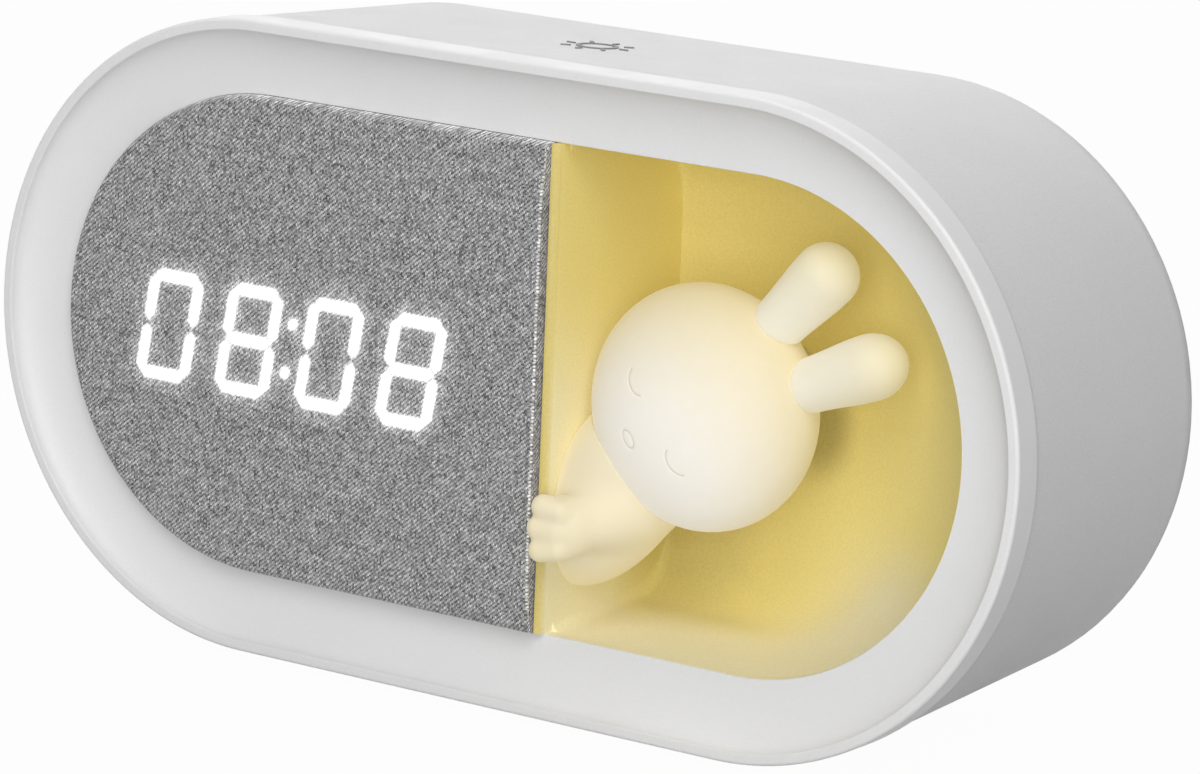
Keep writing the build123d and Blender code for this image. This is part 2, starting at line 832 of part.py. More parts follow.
# Arm: a forearm out of the body, a flat round palm and toes hooked over the cloth's edge
arm_way = Vector(
    cos(radians(arm_turn)) * cos(radians(arm_rise)),
    sin(radians(arm_turn)),
    cos(radians(arm_turn)) * sin(radians(arm_rise)),
)
toe_depth = cloth_face - toe_clearance - toe_radius
with BuildPart() as rabbit_arm:
    palm_place = facing(palm_depth, palm_x, -paw_drop)
    add(ellipsoid(palm_place, palm_radius, palm_radius, palm_half_thickness))
    wrist = Vector(palm_x, front_y + palm_depth + wrist_set_back, centre_z - paw_drop)
    add(ellipsoid(Plane(origin=wrist + arm_way * arm_reach, x_dir=arm_way), arm_half_length, arm_radius, arm_radius))
    for i, toe_setback in enumerate(toe_setbacks):
        toe_z = -paw_drop + (i - (len(toe_setbacks) - 1) / 2) * toe_pitch
        toe_x = panel_split + toe_setback + toe_radius
        with Locations((toe_x, front_y + toe_depth, centre_z + toe_z)):
            Sphere(toe_radius)
    add(body_solid, mode=Mode.SUBTRACT)
    add(head_solid, mode=Mode.SUBTRACT)
rabbit_arm.part.label = "rabbit_arm"
export_step(rabbit_arm.part, "parts/rabbit_arm.step")

# Clear stem that carries the head and the light, held between the niche's pad and the light board
with BuildPart() as light_stem:
    with BuildSketch(facing(pad_back)):
        with Locations((head_x, -head_drop)):
            Circle(stem_radius)
    extrude(amount=pad_back - head_back + stem_grip)
    with BuildSketch(facing(pad_back)):
        with Locations((head_x, -head_drop)):
            Circle(stem_radius + stem_flange)
    extrude(amount=stem_flange_thickness)
    with BuildSketch(facing(pad_back)):
        with Locations((head_x, -head_drop)):
            Circle(stem_radius - stem_wall)
    extrude(amount=pad_back - head_back + stem_grip - stem_wall, mode=Mode.SUBTRACT)
light_stem.part.label = "light_stem"
export_step(light_stem.part, "parts/light_stem.step")

with BuildPart() as light_board:
    with BuildSketch(facing(pad_back)):
        with Locations((head_x, -head_drop)):
            Circle(pad_radius)
        with Locations(*light_screw_places):
            Circle(small_screw_radius + fit_gap, mode=Mode.SUBTRACT)
    back(board_thickness)
light_board.part.label = "light_board"
export_step(light_board.part, "parts/light_board.step")

with BuildPart() as light_leds:
    with BuildSketch(facing(pad_back, head_x, -head_drop)):
        with PolarLocations(light_led_circle, light_led_count):
            Rectangle(light_led_width, light_led_width)
    extrude(amount=light_led_height)
light_leds.part.label = "light_leds"
export_step(light_leds.part, "parts/light_leds.step")

# Header between the light board and the main board
with BuildPart() as board_link:
    with BuildSketch(facing(light_board_back)):
        with Locations((head_x, link_rise)):
            Rectangle(link_width, link_height)
    back(board_front - light_board_back)
board_link.part.label = "board_link"
export_step(board_link.part, "parts/board_link.step")

# Main board with its parts
with BuildPart() as main_board:
    with BuildSketch(facing(board_front)):
        with Locations((main_board_x, main_board_z)):
            Rectangle(main_board_width, main_board_height)
        with Locations(*board_post_places):
            Circle(small_screw_radius + fit_gap, mode=Mode.SUBTRACT)
    back(main_board_thickness)
main_board.part.label = "main_board"
export_step(main_board.part, "parts/main_board.step")

with BuildPart() as main_chips:
    with BuildSketch(facing(board_front)):
        with Locations((processor_x, processor_z)):
            Rectangle(processor_width, processor_width)
    extrude(amount=processor_height)
    with BuildSketch(facing(board_front)):
        with Locations((driver_x, driver_z)):
            Rectangle(driver_length, driver_width)
    extrude(amount=driver_height)
    with BuildSketch(facing(board_front)):
        with Locations((capacitor_x, capacitor_z)):
            Circle(capacitor_radius)
    extrude(amount=capacitor_height)
main_chips.part.label = "main_chips"
export_step(main_chips.part, "parts/main_chips.step")

with BuildPart() as tact_switches:
    with BuildSketch(facing(board_back)):
        with Locations(*button_places):
            Rectangle(tact_width, tact_width)
    back(tact_height)
    with BuildSketch(facing(board_back + tact_height)):
        with Locations(*button_places):
            Circle(tact_stem_radius)
    back(tact_stem)
tact_switches.part.label = "tact_switches"
export_step(tact_switches.part, "parts/tact_switches.step")

# Charging socket, upright on the main board and open to the back
usb_mouth = recess_floor - usb_setback
with BuildPart() as usb_socket:
    with BuildSketch(facing(board_back)):
        with Locations((usb_x, lower_row_z)):
            SlotOverall(usb_width, usb_height)
    back(usb_mouth - board_back)
    with BuildSketch(facing(usb_mouth)):
        with Locations((usb_x, lower_row_z)):
            SlotOverall(usb_width - 2 * usb_shell, usb_height - 2 * usb_shell)
    extrude(amount=usb_mouth - board_back - usb_base, mode=Mode.SUBTRACT)
    with BuildSketch(facing(board_back + usb_base)):
        with Locations((usb_x, lower_row_z)):
            Rectangle(usb_tongue_width, usb_tongue)
    back(usb_mouth - board_back - usb_base - usb_tongue_setback)
usb_socket.part.label = "usb_socket"
export_step(usb_socket.part, "parts/usb_socket.step")

# Alarm switch: its box on the board, and the knob with a lever that slides in it
switch_back = board_back + switch_length
lever_x = slider_x - slider_travel / 2
with BuildPart() as switch_box:
    with BuildSketch(facing(board_back)):
        with Locations((slider_x, lower_row_z)):
            Rectangle(switch_width, switch_height)
    back(switch_length)
    with BuildSketch(facing(switch_back)):
        with Locations((slider_x, lower_row_z)):
            Rectangle(lever_width + slider_travel + 2 * running_gap, lever_width + 2 * running_gap)
    extrude(amount=lever_bite + running_gap, mode=Mode.SUBTRACT)
switch_box.part.label = "switch_box"
export_step(switch_box.part, "parts/switch_box.step")

plate_face = rear_inner - running_gap
with BuildPart() as alarm_slider:
    with BuildSketch(facing(plate_face - slider_plate_thickness)):
        with Locations((lever_x, lower_row_z)):
            Rectangle(slider_width + 2 * slider_plate_border, slider_height + 2 * slider_plate_border)
    back(slider_plate_thickness)
    with BuildSketch(facing(plate_face)):
        with Locations((lever_x, lower_row_z)):
            Rectangle(slider_width, slider_height)
    back(recess_floor + slider_proud - plate_face)
    with BuildSketch(facing(switch_back - lever_bite)):
        with Locations((lever_x, lower_row_z)):
            Rectangle(lever_width, lever_width)
    back(plate_face - slider_plate_thickness - switch_back + lever_bite)
    with BuildSketch(facing(recess_floor + slider_proud)):
        with GridLocations(slider_width / 3, 0, 3, 1):
            with Locations((lever_x, lower_row_z)):
                Rectangle(slider_width / 8, slider_height)
    extrude(amount=slider_proud / 2, mode=Mode.SUBTRACT)
alarm_slider.part.label = "alarm_slider"
export_step(alarm_slider.part, "parts/alarm_slider.step")

# Push buttons: a cap through the rear wall, a rim that keeps it in and a plunger over its switch
for button_name, (button_x, button_z) in zip(button_names, button_places):
    with BuildPart() as button:
        with BuildSketch(facing(plate_face)):
            with Locations((button_x, button_z)):
                Circle(button_radius)
        back(recess_floor + button_proud - plate_face)
        fillet(button.faces().sort_by(Axis.Y)[-1].edges(), button_round)
        with BuildSketch(facing(plate_face)):
            with Locations((button_x, button_z)):
                Circle(button_radius + button_rim)
        extrude(amount=button_rim_thickness)
        with BuildSketch(facing(plate_face - button_rim_thickness)):
            with Locations((button_x, button_z)):
                Circle(plunger_radius)
        extrude(amount=plate_face - button_rim_thickness - tact_tip - button_travel - running_gap)
    button.part.label = button_name
    export_step(button.part, f"parts/{button_name}.step")

# Speaker: basket with its magnet, and the cone in it
speaker_front = rear_inner - speaker_depth
with BuildPart() as speaker_frame:
    with BuildSketch(facing(speaker_front)):
        with Locations((speaker_x, speaker_z)):
            Circle(speaker_radius)
    back(speaker_depth)
    with BuildSketch(facing(speaker_front + speaker_floor)):
        with Locations((speaker_x, speaker_z)):
            Circle(speaker_radius - speaker_rim)
    back(speaker_depth - speaker_floor, Mode.SUBTRACT)
    with BuildSketch(facing(speaker_front)):
        with Locations((speaker_x, speaker_z)):
            Circle(magnet_radius)
    extrude(amount=magnet_height)
speaker_frame.part.label = "speaker_frame"
export_step(speaker_frame.part, "parts/speaker_frame.step")

cone_radius = speaker_radius - speaker_rim - fit_gap
cone_edge = rear_inner - cone_sink / 2
with BuildPart() as speaker_cone:
    with BuildSketch(Plane(origin=(speaker_x, front_y, centre_z + speaker_z), x_dir=(1, 0, 0), z_dir=(0, 0, 1))):
        Polygon(
            (0, cone_edge - cone_sink),
            (cone_centre_radius, cone_edge - cone_sink),
            (cone_radius, cone_edge),
            (cone_radius, cone_edge - cone_thickness),
            (cone_centre_radius, cone_edge - cone_sink - cone_thickness),
            (0, cone_edge - cone_sink - cone_thickness),
            align=None,
        )
    revolve(axis=depth_axis(speaker_x, speaker_z))
speaker_cone.part.label = "speaker_cone"
export_step(speaker_cone.part, "parts/speaker_cone.step")

# Flat rechargeable cell, taped to the rear wall
with BuildPart() as battery_pack:
    with BuildSketch(facing(cell_front)):
        with Locations((battery_x, battery_z)):
            RectangleRounded(battery_width, battery_height, battery_round)
    back(battery_thickness)
    fillet(battery_pack.faces().sort_by(Axis.Y)[0].edges(), battery_round / 2)
battery_pack.part.label = "battery_pack"
export_step(battery_pack.part, "parts/battery_pack.step")

with BuildPart() as battery_tape:
    with BuildSketch(facing(cell_front + battery_thickness)):
        with Locations((battery_x, battery_z)):
            Rectangle(battery_width - 2 * tape_margin, battery_height - 2 * tape_margin)
    back(tape_thickness)
battery_tape.part.label = "battery_tape"
export_step(battery_tape.part, "parts/battery_tape.step")

# Ribbon between the display board and the main board, with its two connectors
with BuildPart() as ribbon_connectors:
    for face, way in ((display_board_back, -1), (board_front, 1)):
        with BuildSketch(facing(face)):
            with Locations((ribbon_x, ribbon_z)):
                Rectangle(ribbon_connector_width, ribbon_connector_height)
        extrude(amount=way * ribbon_connector_length)
ribbon_connectors.part.label = "ribbon_connectors"
export_step(ribbon_connectors.part, "parts/ribbon_connectors.step")

with BuildPart() as display_ribbon:
    with BuildSketch(facing(display_board_back + ribbon_connector_length)):
        with Locations((ribbon_x, ribbon_z)):
            Rectangle(ribbon_width, ribbon_thickness)
    back(board_front - display_board_back - 2 * ribbon_connector_length)
display_ribbon.part.label = "display_ribbon"
export_step(display_ribbon.part, "parts/display_ribbon.step")


def ceiling(depth):
    """Height of the housing's inner top above the case's middle."""
    return end_radius - housing_inset(depth) - housing_wall


# Touch foil under the top wall, the leaf that joins it to the board, and the mark above it
with BuildPart() as touch_foil:
    with BuildSketch(side_view(touch_x - touch_width / 2)):
        foil_end = foil_start + foil_length
        Polygon(
            (foil_start, ceiling(foil_start) - fit_gap),
            (foil_end, ceiling(foil_end) - fit_gap),
            (foil_end, ceiling(foil_end) - fit_gap - foil_thickness),
            (foil_start, ceiling(foil_start) - fit_gap - foil_thickness),
            align=None,
        )
    extrude(amount=touch_width)
touch_foil.part.label = "touch_foil"
export_step(touch_foil.part, "parts/touch_foil.step")

board_top = main_board_z + main_board_height / 2
leaf_tip_depth = board_front - leaf_forward
leaf_tip_z = ceiling(board_front) - 2 * fit_gap - foil_thickness
with BuildPart() as touch_leaf:
    with BuildSketch(side_view(touch_x - leaf_width / 2)):
        Polygon(
            (board_front, board_top - leaf_foot),
            (board_front, board_top),
            (leaf_tip_depth, leaf_tip_z),
            (leaf_tip_depth - foil_thickness, leaf_tip_z),
            (board_front - foil_thickness, board_top - foil_thickness),
            (board_front - foil_thickness, board_top - leaf_foot),
            align=None,
        )
    extrude(amount=leaf_width)
touch_leaf.part.label = "touch_leaf"
export_step(touch_leaf.part, "parts/touch_leaf.step")

mark_origin = (touch_x, front_y + touch_depth, centre_z + end_radius - housing_inset(touch_depth))
mark_normal = (0, sin(radians(housing_draft)), cos(radians(housing_draft)))
with BuildPart() as touch_mark:
    with BuildSketch(Plane(origin=mark_origin, x_dir=(1, 0, 0), z_dir=mark_normal)):
        Circle(mark_ring_radius + mark_line / 2)
        Circle(mark_ring_radius - mark_line / 2, mode=Mode.SUBTRACT)
        with PolarLocations((mark_ray_start + mark_ray_end) / 2, mark_ray_count):
            SlotOverall(mark_ray_end - mark_ray_start, mark_line)
    extrude(amount=mark_height)
touch_mark.part.label = "touch_mark"
export_step(touch_mark.part, "parts/touch_mark.step")

# Screws
screw_sets = {
    "case_screws": screw_set(
        post_places,
        post_meet_depth + case_screw_grip,
        case_screw_head_radius,
        case_screw_head,
        case_screw_radius,
        case_screw_grip + case_screw_bite,
    ),
    "panel_screws": screw_set(
        tab_places_panel + tab_places_niche,
        seat_back,
        small_screw_head_radius,
        small_screw_head,
        small_screw_radius,
        seat_back - flange_back + panel_screw_bite,
    ),
    "display_screws": screw_set(
        display_screw_places,
        display_board_back,
        small_screw_head_radius,
        small_screw_head,
        small_screw_radius,
        board_thickness + display_screw_bite,
    ),
    "light_screws": screw_set(
        light_screw_places,
        light_board_back,
        small_screw_head_radius,
        small_screw_head,
        small_screw_radius,
        board_thickness + light_screw_bite,
    ),
    "board_screws": screw_set(
        board_post_places,
        board_front,
        small_screw_head_radius,
        small_screw_head,
        small_screw_radius,
        main_board_thickness + board_screw_bite,
        facing_back=False,
    ),
}
for screw_name, screws in screw_sets.items():
    screws.label = screw_name
    export_step(screws, f"parts/{screw_name}.step")

# Feet, each as tall as the tapering housing needs to stand level
with BuildPart() as rubber_feet:
    for x, depth in foot_places:
        with BuildSketch(Plane.XY):
            with Locations((x, front_y + depth)):
                Circle(foot_radius)
        extrude(amount=foot_height + housing_inset(depth) + foot_pocket)
    fillet(rubber_feet.edges().group_by(Axis.Z)[0], foot_round)
rubber_feet.part.label = "rubber_feet"
export_step(rubber_feet.part, "parts/rubber_feet.step")
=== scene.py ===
"""Looks of a bedside clock with a cloth display, a yellow niche and a glowing rabbit figure."""
import json

import bmesh
import bpy
import numpy as np
from mathutils import Matrix


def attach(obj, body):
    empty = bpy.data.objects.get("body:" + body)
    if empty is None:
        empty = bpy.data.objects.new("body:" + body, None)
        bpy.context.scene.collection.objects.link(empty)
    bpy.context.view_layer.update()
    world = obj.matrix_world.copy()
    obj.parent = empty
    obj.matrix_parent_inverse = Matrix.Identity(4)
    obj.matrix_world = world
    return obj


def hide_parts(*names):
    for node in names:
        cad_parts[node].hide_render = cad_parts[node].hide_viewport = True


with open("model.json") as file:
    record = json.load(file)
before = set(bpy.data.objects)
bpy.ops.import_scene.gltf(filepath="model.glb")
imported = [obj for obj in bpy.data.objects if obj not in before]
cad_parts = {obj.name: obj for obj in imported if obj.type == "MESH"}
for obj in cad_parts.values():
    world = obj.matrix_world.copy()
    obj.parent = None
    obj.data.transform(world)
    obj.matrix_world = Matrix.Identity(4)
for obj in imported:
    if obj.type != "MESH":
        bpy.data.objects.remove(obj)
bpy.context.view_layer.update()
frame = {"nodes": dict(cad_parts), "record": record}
scene = bpy.context.scene
scene.view_settings.view_transform = "Standard"

# Sizes in millimetres and degrees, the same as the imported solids: depths run back from the front rim's plane
MM = 0.001
HALF_RUN, END_RADIUS = 36.0, 40.0
FRONT_Y, MIDDLE_Z = -22.35, 40.8
OPENING, RIM_WIDTH, SEAM_DEPTH = 9.7, 1.4, 4.4
COVE_WIDTH, COVE_DEPTH = 8.3, 3.5
PANEL_EDGE, CLOTH_EDGE, FOLD_ROUND = 8.4, 7.3, 0.45
NICHE_RADIUS, NICHE_FLAT, NICHE_DEPTH, NICHE_ROUND, NICHE_WALL = 64.2, 7.6, 29.5, 8.0, 1.6
NICHE_FRONT, COLLAR_FRONT, STEM_HOLE = 5.2, 3.62, 5.95
HEAD_X, HEAD_Z, HEAD_DEPTH = 25.1, -0.6, 11.5
HEAD_RADIUS, HEAD_HALF_DEPTH, HEAD_WALL = 15.1, 10.1, 1.6
HEAD_TURN = 34.5
ALONG = np.array([np.cos(np.radians(HEAD_TURN)), np.sin(np.radians(HEAD_TURN))])
ASIDE = np.array([-ALONG[1], ALONG[0]])
HEAD_MIDDLE = np.array([HEAD_X, HEAD_DEPTH, HEAD_Z])
HEAD_HALVES = np.array([HEAD_RADIUS, HEAD_HALF_DEPTH, HEAD_RADIUS])

# The face's fine lines, up and across the face from the head's middle: closed eyes and a small nose
LID_UP, LID_SIDE, LID_HALVES, LID_ARC, LID_CUT = -0.28, 5.4, (1.7, 1.9), 1.15, 0.41
NOSE_UP, NOSE_HALVES = -5.6, (0.75, 1.15)

# The digits: a module's height, pitch and lean, and where the row stands on the cloth
DIGIT_X, DIGIT_Z, DIGIT_PITCH, DIGIT_LEAN = -30.2, -0.4, 12.65, 10.0
DIGIT_HEIGHT, DIGIT_WIDTH, DIGIT_STROKE, DIGIT_GAP, DIGIT_SPLIT = 14.2, 8.5, 1.5, 0.06, 0.27
COLON_RISE, COLON_RADIUS, NO_LIGHT = 3.15, 0.7, 9.0
SHOWN = "0808"

# The weave: yarn pitches and the pale stitch row's place, then the tones of the warp, low and high, of the
# weft, low and high, and of the extra grain
WARP_PITCH, WEFT_PITCH, PALE_ROW = 0.228, 0.189, 7.12
TONES = (0.27, 0.64, 0.03, 0.38, 0.18)
WHITE = (1.0, 1.0, 1.0, 1.0)


def place(x, depth, z):
    """Row-frame metres from a place across, back from the rim's plane and above the case's middle."""
    x, depth, z = np.broadcast_arrays(x, depth, z)
    return np.stack([x, FRONT_Y + depth, MIDDLE_Z + z], -1) * MM


def grid_faces(rows, columns, wrap_rows=False, wrap_columns=False):
    """Four-cornered faces of a grid of points, counted row by row."""
    i = np.arange(rows if wrap_rows else rows - 1)
    j = np.arange(columns if wrap_columns else columns - 1)
    i, j = np.meshgrid(i, j, indexing="ij")
    down, right = (i + 1) % rows, (j + 1) % columns
    corners = [i * columns + j, i * columns + right, down * columns + right, down * columns + j]
    return np.stack(corners, -1).reshape(-1, 4)


def mesh_object(name, points, faces, smooth_angle=40.0):
    """A mesh from arrays of points and of faces; a face whose last two corners are equal is a triangle."""
    triangles = faces[:, 2] == faces[:, 3]
    quads, tris = faces[~triangles], faces[triangles][:, :3]
    loops = np.concatenate([quads.ravel(), tris.ravel()]).astype(np.int32)
    starts = np.concatenate([np.arange(len(quads)) * 4, len(quads) * 4 + np.arange(len(tris)) * 3])
    mesh = bpy.data.meshes.new(name)
    mesh.vertices.add(len(points))
    mesh.vertices.foreach_set("co", np.asarray(points, np.float32).ravel())
    mesh.loops.add(len(loops))
    mesh.loops.foreach_set("vertex_index", loops)
    mesh.polygons.add(len(starts))
    mesh.polygons.foreach_set("loop_start", starts.astype(np.int32))
    mesh.update(calc_edges=True)
    mesh.validate()
    mesh.polygons.foreach_set("use_smooth", np.ones(len(mesh.polygons), bool))
    mesh.set_sharp_from_angle(angle=np.radians(smooth_angle))
    piece = bpy.data.objects.new(name, mesh)
    scene.collection.objects.link(piece)
    return piece


def ring_surface(points):
    """Points and faces of a tube closed both ways from a rows x columns x 3 grid."""
    rows, columns = points.shape[:2]
    return points.reshape(-1, 3), grid_faces(rows, columns, True, True)


def capped_surface(points):
    """Points and faces of a surface that wraps round its columns, with a fan over its first and last rows."""
    rows, columns = points.shape[:2]
    flat = points.reshape(-1, 3)
    ends = np.stack([points[0].mean(0), points[-1].mean(0)])
    j = np.arange(columns)
    right = (j + 1) % columns
    first, last = len(flat), len(flat) + 1
    top = np.stack([np.full(columns, first), right, j, j], -1)
    base = (rows - 1) * columns
    bottom = np.stack([np.full(columns, last), base + j, base + right, base + right], -1)
    faces = np.concatenate([grid_faces(rows, columns, False, True), top, bottom])
    return np.concatenate([flat, ends]), faces


def join(*parts):
    """Several (points, faces) pairs as one."""
    counts = np.cumsum([0] + [len(points) for points, _ in parts])
    points = np.concatenate([points for points, _ in parts])
    faces = np.concatenate([faces + start for (_, faces), start in zip(parts, counts)])
    return points, faces


def arc(centre, radii, start, end, steps):
    """Points of an elliptical arc between two angles in degrees."""
    angle = np.radians(np.linspace(start, end, steps))
    return np.stack([centre[0] + radii[0] * np.cos(angle), centre[1] + radii[1] * np.sin(angle)], -1)


def stadium_path(arc_steps=96, run_steps=24):
    """The case's outline as middle points on its straight middle line and unit outward directions."""
    angle = np.radians(np.linspace(90, -90, arc_steps, endpoint=False))
    run = np.linspace(HALF_RUN, -HALF_RUN, run_steps, endpoint=False)
    middle = np.concatenate([np.full(arc_steps, HALF_RUN), run, np.full(arc_steps, -HALF_RUN), -run])
    across = np.concatenate([np.cos(angle), np.zeros(run_steps), -np.cos(angle), np.zeros(run_steps)])
    up = np.concatenate([np.sin(angle), -np.ones(run_steps), -np.sin(angle), np.ones(run_steps)])
    return middle, across, up


def swept_ring(profile):
    """A profile of (inset, depth) carried round the case: each point is the middle line plus, outward, the
    end radius less the inset."""
    middle, across, up = stadium_path()
    reach = END_RADIUS - profile[:, 0]
    x = middle[:, None] + across[:, None] * reach
    z = up[:, None] * reach
    return place(x, profile[:, 1], z)


def smooth_step(value):
    """3 v^2 - 2 v^3 for a value held between 0 and 1."""
    value = np.clip(value, 0, 1)
    return value * value * (3 - 2 * value)

# ---- materials


def new_material(name):
    """A material with its node tree and its main shader."""
    material = bpy.data.materials.new(name)
    material.use_nodes = True
    tree = material.node_tree
    return material, tree, tree.nodes["Principled BSDF"]


def feed(tree, node, **settings):
    """Sets up a node: a setting that names one of its sockets is linked or set, any other is a property."""
    for key, value in settings.items():
        socket = None
        if key.startswith("in_"):
            socket = node.inputs[int(key[3:])]
        elif key.replace("_", " ") in node.inputs:
            socket = node.inputs[key.replace("_", " ")]
        if socket is None:
            setattr(node, key, value)
        elif isinstance(value, bpy.types.NodeSocket):
            tree.links.new(value, socket)
        else:
            socket.default_value = value
    return node


def add_node(tree, kind, **settings):
    """A new shader node, set up."""
    return feed(tree, tree.nodes.new("ShaderNode" + kind), **settings)


def maths(tree, operation, *values):
    """A Math node's result for up to three values or sockets."""
    settings = {f"in_{i}": value for i, value in enumerate(values)}
    return add_node(tree, "Math", operation=operation, **settings).outputs[0]


def times(tree, first, second):
    """The product of two values or sockets."""
    return maths(tree, "MULTIPLY", first, second)


def object_coordinates(tree):
    """Each shaded point's place in its own piece, in metres."""
    return add_node(tree, "TexCoord").outputs["Object"]


def noise(tree, coordinates, feature_mm, detail=2.0, roughness=0.5):
    """Smooth noise of about 0 to 1 whose features are feature_mm wide."""
    settings = {"Scale": 1.0 / (feature_mm * MM), "Detail": detail, "Roughness": roughness}
    return add_node(tree, "TexNoise", Vector=coordinates, **settings).outputs["Fac"]


def remap(tree, value, low, high, to_low, to_high, smooth=False):
    """A value carried from one range to another and held there, evenly or with a soft start and end."""
    settings = {"interpolation_type": "SMOOTHSTEP" if smooth else "LINEAR"}
    settings.update(in_0=value, in_1=low, in_2=high, in_3=to_low, in_4=to_high)
    return add_node(tree, "MapRange", **settings).outputs["Result"]


def fade(tree, value, low_mm, high_mm, to_low, to_high):
    """A soft change from one number to another between two lengths in millimetres."""
    return remap(tree, value, low_mm * MM, high_mm * MM, to_low, to_high, True)


def distance_from(tree, coordinates, x, depth, z):
    """Distance of each shaded point from a place."""
    middle = tuple(place(x, depth, z))
    return add_node(tree, "VectorMath", operation="DISTANCE", in_0=coordinates, in_1=middle).outputs["Value"]


def raised(tree, height, depth_mm, strength=1.0):
    """The surface direction of a fine relief with this height."""
    node = add_node(tree, "Bump", Strength=strength, Distance=depth_mm * MM, Height=height)
    return node.outputs["Normal"]


def mix_colour(tree, share, first, second):
    """The first colour where the share is 0, the second where it is 1."""
    node = tree.nodes.new("ShaderNodeMix")
    node.data_type = "RGBA"
    for socket, value in zip((node.inputs[0], node.inputs[6], node.inputs[7]), (share, first, second)):
        if isinstance(value, bpy.types.NodeSocket):
            tree.links.new(value, socket)
        elif isinstance(value, (int, float)):
            socket.default_value = value
        else:
            socket.default_value = (*value, 1.0)
    return node.outputs[2]


def moulded(name, colour, roughness, grain_mm=0.25, grain_depth=0.004, tone=0.05, drift_mm=14.0, drift=0.02,
            specular=0.5):
    """A moulded or drawn surface: a fine grain in tone and height, a slow drift in tone and uneven gloss."""
    material, tree, shader = new_material(name)
    coordinates = object_coordinates(tree)
    grain = noise(tree, coordinates, grain_mm, 3.0, 0.6)
    fine = remap(tree, grain, 0.25, 0.75, -tone, tone)
    slow = remap(tree, noise(tree, coordinates, drift_mm, 2.0), 0.3, 0.7, -drift, drift)
    light = tuple(min(1.0, c * 1.25) for c in colour)
    dark = tuple(c * 0.75 for c in colour)
    share = remap(tree, maths(tree, "ADD", fine, slow), -0.25, 0.25, 0.0, 1.0)
    uneven = noise(tree, coordinates, drift_mm * 0.3, 4.0)
    rough = remap(tree, uneven, 0.3, 0.7, max(0.02, roughness - 0.06), min(1.0, roughness + 0.06))
    feed(tree, shader, Base_Color=mix_colour(tree, share, dark, light), Roughness=rough,
         Normal=raised(tree, grain, grain_depth), Specular_IOR_Level=specular)
    return material


def brushed(name, colour, roughness, direction=(1.0, 1.0, 12.0)):
    """Drawn or turned metal: streaks stretched along one direction."""
    material, tree, shader = new_material(name)
    stretched = add_node(tree, "Mapping", Vector=object_coordinates(tree), Scale=direction)
    streak = noise(tree, stretched.outputs[0], 0.96, 4.0, 0.6)
    dark = tuple(c * 0.82 for c in colour)
    rough = remap(tree, streak, 0.3, 0.7, roughness - 0.05, roughness + 0.1)
    feed(tree, shader, Base_Color=mix_colour(tree, streak, dark, colour), Roughness=rough,
         Normal=raised(tree, streak, 0.01, 0.6), Metallic=1.0)
    return material


def circuit_board(name):
    """Green solder mask over faint copper runs."""
    material, tree, shader = new_material(name)
    coordinates = object_coordinates(tree)
    runs = add_node(tree, "TexBrick", Vector=coordinates, Scale=260.0, Mortar_Size=0.06, Mortar_Smooth=0.3)
    share = remap(tree, noise(tree, coordinates, 3.0, 3.0), 0.35, 0.65, 0.0, 1.0)
    mask = mix_colour(tree, share, (0.010, 0.085, 0.035), (0.016, 0.13, 0.055))
    mask = mix_colour(tree, times(tree, runs.outputs["Fac"], 0.6), mask, (0.05, 0.26, 0.10))
    feed(tree, shader, Base_Color=mask, Roughness=0.32, Normal=raised(tree, runs.outputs["Fac"], 0.03, 0.4))
    return material


def face_lines(tree, coordinates):
    """1 on the fine moulded lines of the face, 0 beside them: on each side a low arc of an ellipse for a
    closed eye, in the middle a small ring for the nose."""
    middle = tuple(place(HEAD_X, 0.0, HEAD_Z))
    local = add_node(tree, "VectorMath", operation="SUBTRACT", in_0=coordinates, in_1=middle).outputs[0]

    def measured(way):
        """Millimetres along one direction of the face."""
        axis = (way[0] / MM, 0.0, way[1] / MM)
        return add_node(tree, "VectorMath", operation="DOT_PRODUCT", in_0=local, in_1=axis).outputs["Value"]

    up, side = measured(ALONG), maths(tree, "ABSOLUTE", measured(ASIDE))

    def squared(value, centre, half):
        """The share of a half size from a centre, and its square."""
        share = maths(tree, "DIVIDE", maths(tree, "SUBTRACT", value, centre), half)
        return share, times(tree, share, share)

    def ring(up_middle, side_middle, halves):
        """Roughly the distance from an ellipse, and how far up it."""
        level, up_square = squared(up, up_middle, halves[0])
        side_square = squared(side, side_middle, halves[1])[1]
        length = maths(tree, "SQRT", maths(tree, "ADD", up_square, side_square))
        off = maths(tree, "ABSOLUTE", maths(tree, "SUBTRACT", length, 1.0))
        return times(tree, off, sum(halves) / 2), level

    lid, level = ring(LID_UP, LID_SIDE, LID_HALVES)
    above = times(tree, maths(tree, "ADD", level, LID_CUT), LID_HALVES[0])
    lid = maths(tree, "MAXIMUM", lid, above)
    nose = ring(NOSE_UP, 0.0, NOSE_HALVES)[0]
    line = remap(tree, maths(tree, "MINIMUM", lid, nose), 0.03, 0.15, 1.0, 0.0, True)
    depth = add_node(tree, "SeparateXYZ", Vector=local).outputs["Y"]
    return times(tree, line, maths(tree, "LESS_THAN", depth, 9.0 * MM))


